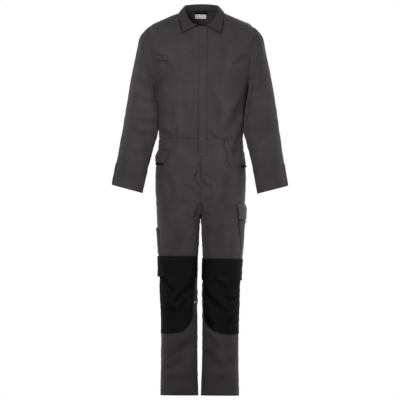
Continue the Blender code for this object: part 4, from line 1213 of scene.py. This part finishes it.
def dress(piece, node, thick):
    """Give a sheet its wall, its finish and its place, and return its cut."""
    slot, finish = next((found for start, found in CLOTH_OF.items() if node.startswith(start)), PLAIN)
    if node in flat_size:
        size, area = flat_size[node], flat_area[node]
    else:
        size, area = unwrap(piece)
    apply_modifier(piece, "SOLIDIFY", thickness=thick, offset=-1.0, use_even_offset=False, use_rim=True)
    hold(piece)
    bpy.ops.object.shade_smooth_by_angle(angle=SOFT_TURN)
    piece.data.materials.append(finish)
    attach(piece, "root")
    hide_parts(node)
    return float(size[0]), float(size[1]), float(area)


def wall_of(node):
    if node == "collar":
        return COLLAR_WALL
    return CLOTH if node in cloth else LABEL_THICK if node.endswith("label") else THICK


for node, piece in {**cloth, "collar": collar, **patches}.items():
    cut = dress(piece, node, wall_of(node))
    print(node, "cut", [round(v, 4) for v in cut])

# %% [markdown]
# ## The stitches become pieces
# Each stitch so far is only a list of points. All stitches of one thread and one part of the suit
# are gathered into a single piece, which is far lighter than thousands of small ones.

# %% Gather the stitches
def gather(name, sets, finish):
    """One piece from many copies of the stitch's mesh."""
    count = len(STITCH_POINTS)
    points = np.concatenate(sets)
    faces = [tuple(i + count * n for i in face) for n in range(len(sets)) for face in STITCH_FACES]
    mesh = bpy.data.meshes.new(name)
    mesh.from_pydata(points.tolist(), [], faces)
    piece = bpy.data.objects.new(name, mesh)
    bpy.context.scene.collection.objects.link(piece)
    piece.data.materials.append(finish)
    hold(piece)
    bpy.ops.object.shade_smooth()
    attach(piece, "root")
    return piece


for group, sets in stitches.items():
    piece = gather("stitches_" + group, sets, BLACK_THREAD if group == "black" else THREAD)
    print(piece.name, len(sets), "stitches,", len(piece.data.polygons), "faces")

# %% [markdown]
# ## A plain studio
# The suit hangs over a pale floor in front of plain white. A soft light stands in front of the
# chest and a weaker one fills from the other side. Both spread little, so the cloth darkens towards
# the hems. The room, the back and the sides give a little light too, and a small lamp low down
# brightens the side of the left thigh.

# %% Floor, lights and camera
bpy.ops.object.select_all(action="DESELECT")
FLOOR_MIDDLE = (0.0, -0.25, -1.70)
bpy.ops.mesh.primitive_circle_add(vertices=96, radius=1.25, fill_type="NGON", location=FLOOR_MIDDLE)
floor = bpy.context.object
floor.name = "studio_floor"
bpy.ops.object.transform_apply(location=True)
paint, tree, shader = new_material("pale_floor")
shader.inputs["Base Color"].default_value = (0.80, 0.80, 0.80, 1.0)
shader.inputs["Roughness"].default_value = 0.7
floor.data.materials.append(paint)


def soft_light(name, place, towards, size, power, spread):
    """A square soft box that faces a point; a narrow spread falls off sooner around that point."""
    lamp = bpy.data.lights.new(name, "AREA")
    lamp.size = size
    lamp.energy = power
    lamp.spread = math.radians(spread)
    made = bpy.data.objects.new(name, lamp)
    bpy.context.scene.collection.objects.link(made)
    made.location = place
    made.rotation_euler = (Vector(towards) - Vector(place)).to_track_quat("-Z", "Y").to_euler()
    return made


soft_light("key_light", (-0.65, -2.4, 0.22), (0.0, 0.0, -0.42), 0.9, 5.6, 62.0)
soft_light("fill_light", (1.7, -2.3, -0.30), (0.0, 0.0, -0.45), 1.4, 2.9, 70.0)
soft_light("back_light", (0.7, 2.8, 0.3), (0.0, 0.0, -0.7), 2.0, 62.0, 150.0)
soft_light("side_light_left", (2.6, 1.1, 0.0), (0.0, 0.0, -0.7), 1.4, 13.0, 120.0)
soft_light("side_light_right", (-2.6, 1.1, 0.0), (0.0, 0.0, -0.7), 1.4, 13.0, 120.0)
soft_light("thigh_light", (2.0, -0.3, -1.50), (0.19, 0.0, -0.80), 0.7, 0.30, 24.0)

world = bpy.data.worlds.new("studio_air")
bpy.context.scene.world = world
world.use_nodes = True
air = world.node_tree
behind = air.nodes["Background"]
behind.inputs["Color"].default_value = (1.0, 1.0, 1.0, 1.0)
behind.inputs["Strength"].default_value = 1.0
glow = add_node(air, "ShaderNodeBackground", Strength=0.24)
rays = air.nodes.new("ShaderNodeLightPath")
choose = air.nodes.new("ShaderNodeMixShader")
air.links.new(rays.outputs["Is Camera Ray"], choose.inputs[0])
air.links.new(glow.outputs[0], choose.inputs[1])
air.links.new(behind.outputs[0], choose.inputs[2])
air.links.new(choose.outputs[0], air.nodes["World Output"].inputs["Surface"])
bpy.context.scene.view_settings.view_transform = "Standard"

AWAY, LENS, SENSOR = 42.0, 889.5, 36.0
eye = bpy.data.cameras.new("camera")
eye.lens = LENS
eye.sensor_width = SENSOR
eye.clip_end = 100.0
camera = bpy.data.objects.new("camera", eye)
bpy.context.scene.collection.objects.link(camera)
camera.location = (-0.0028, -AWAY, -0.7905)
camera.rotation_euler = (math.radians(90), math.radians(-0.33), 0.0)
bpy.context.scene.camera = camera
print("frame is", round(AWAY * SENSOR / LENS, 3), "m wide at the middle of the suit")
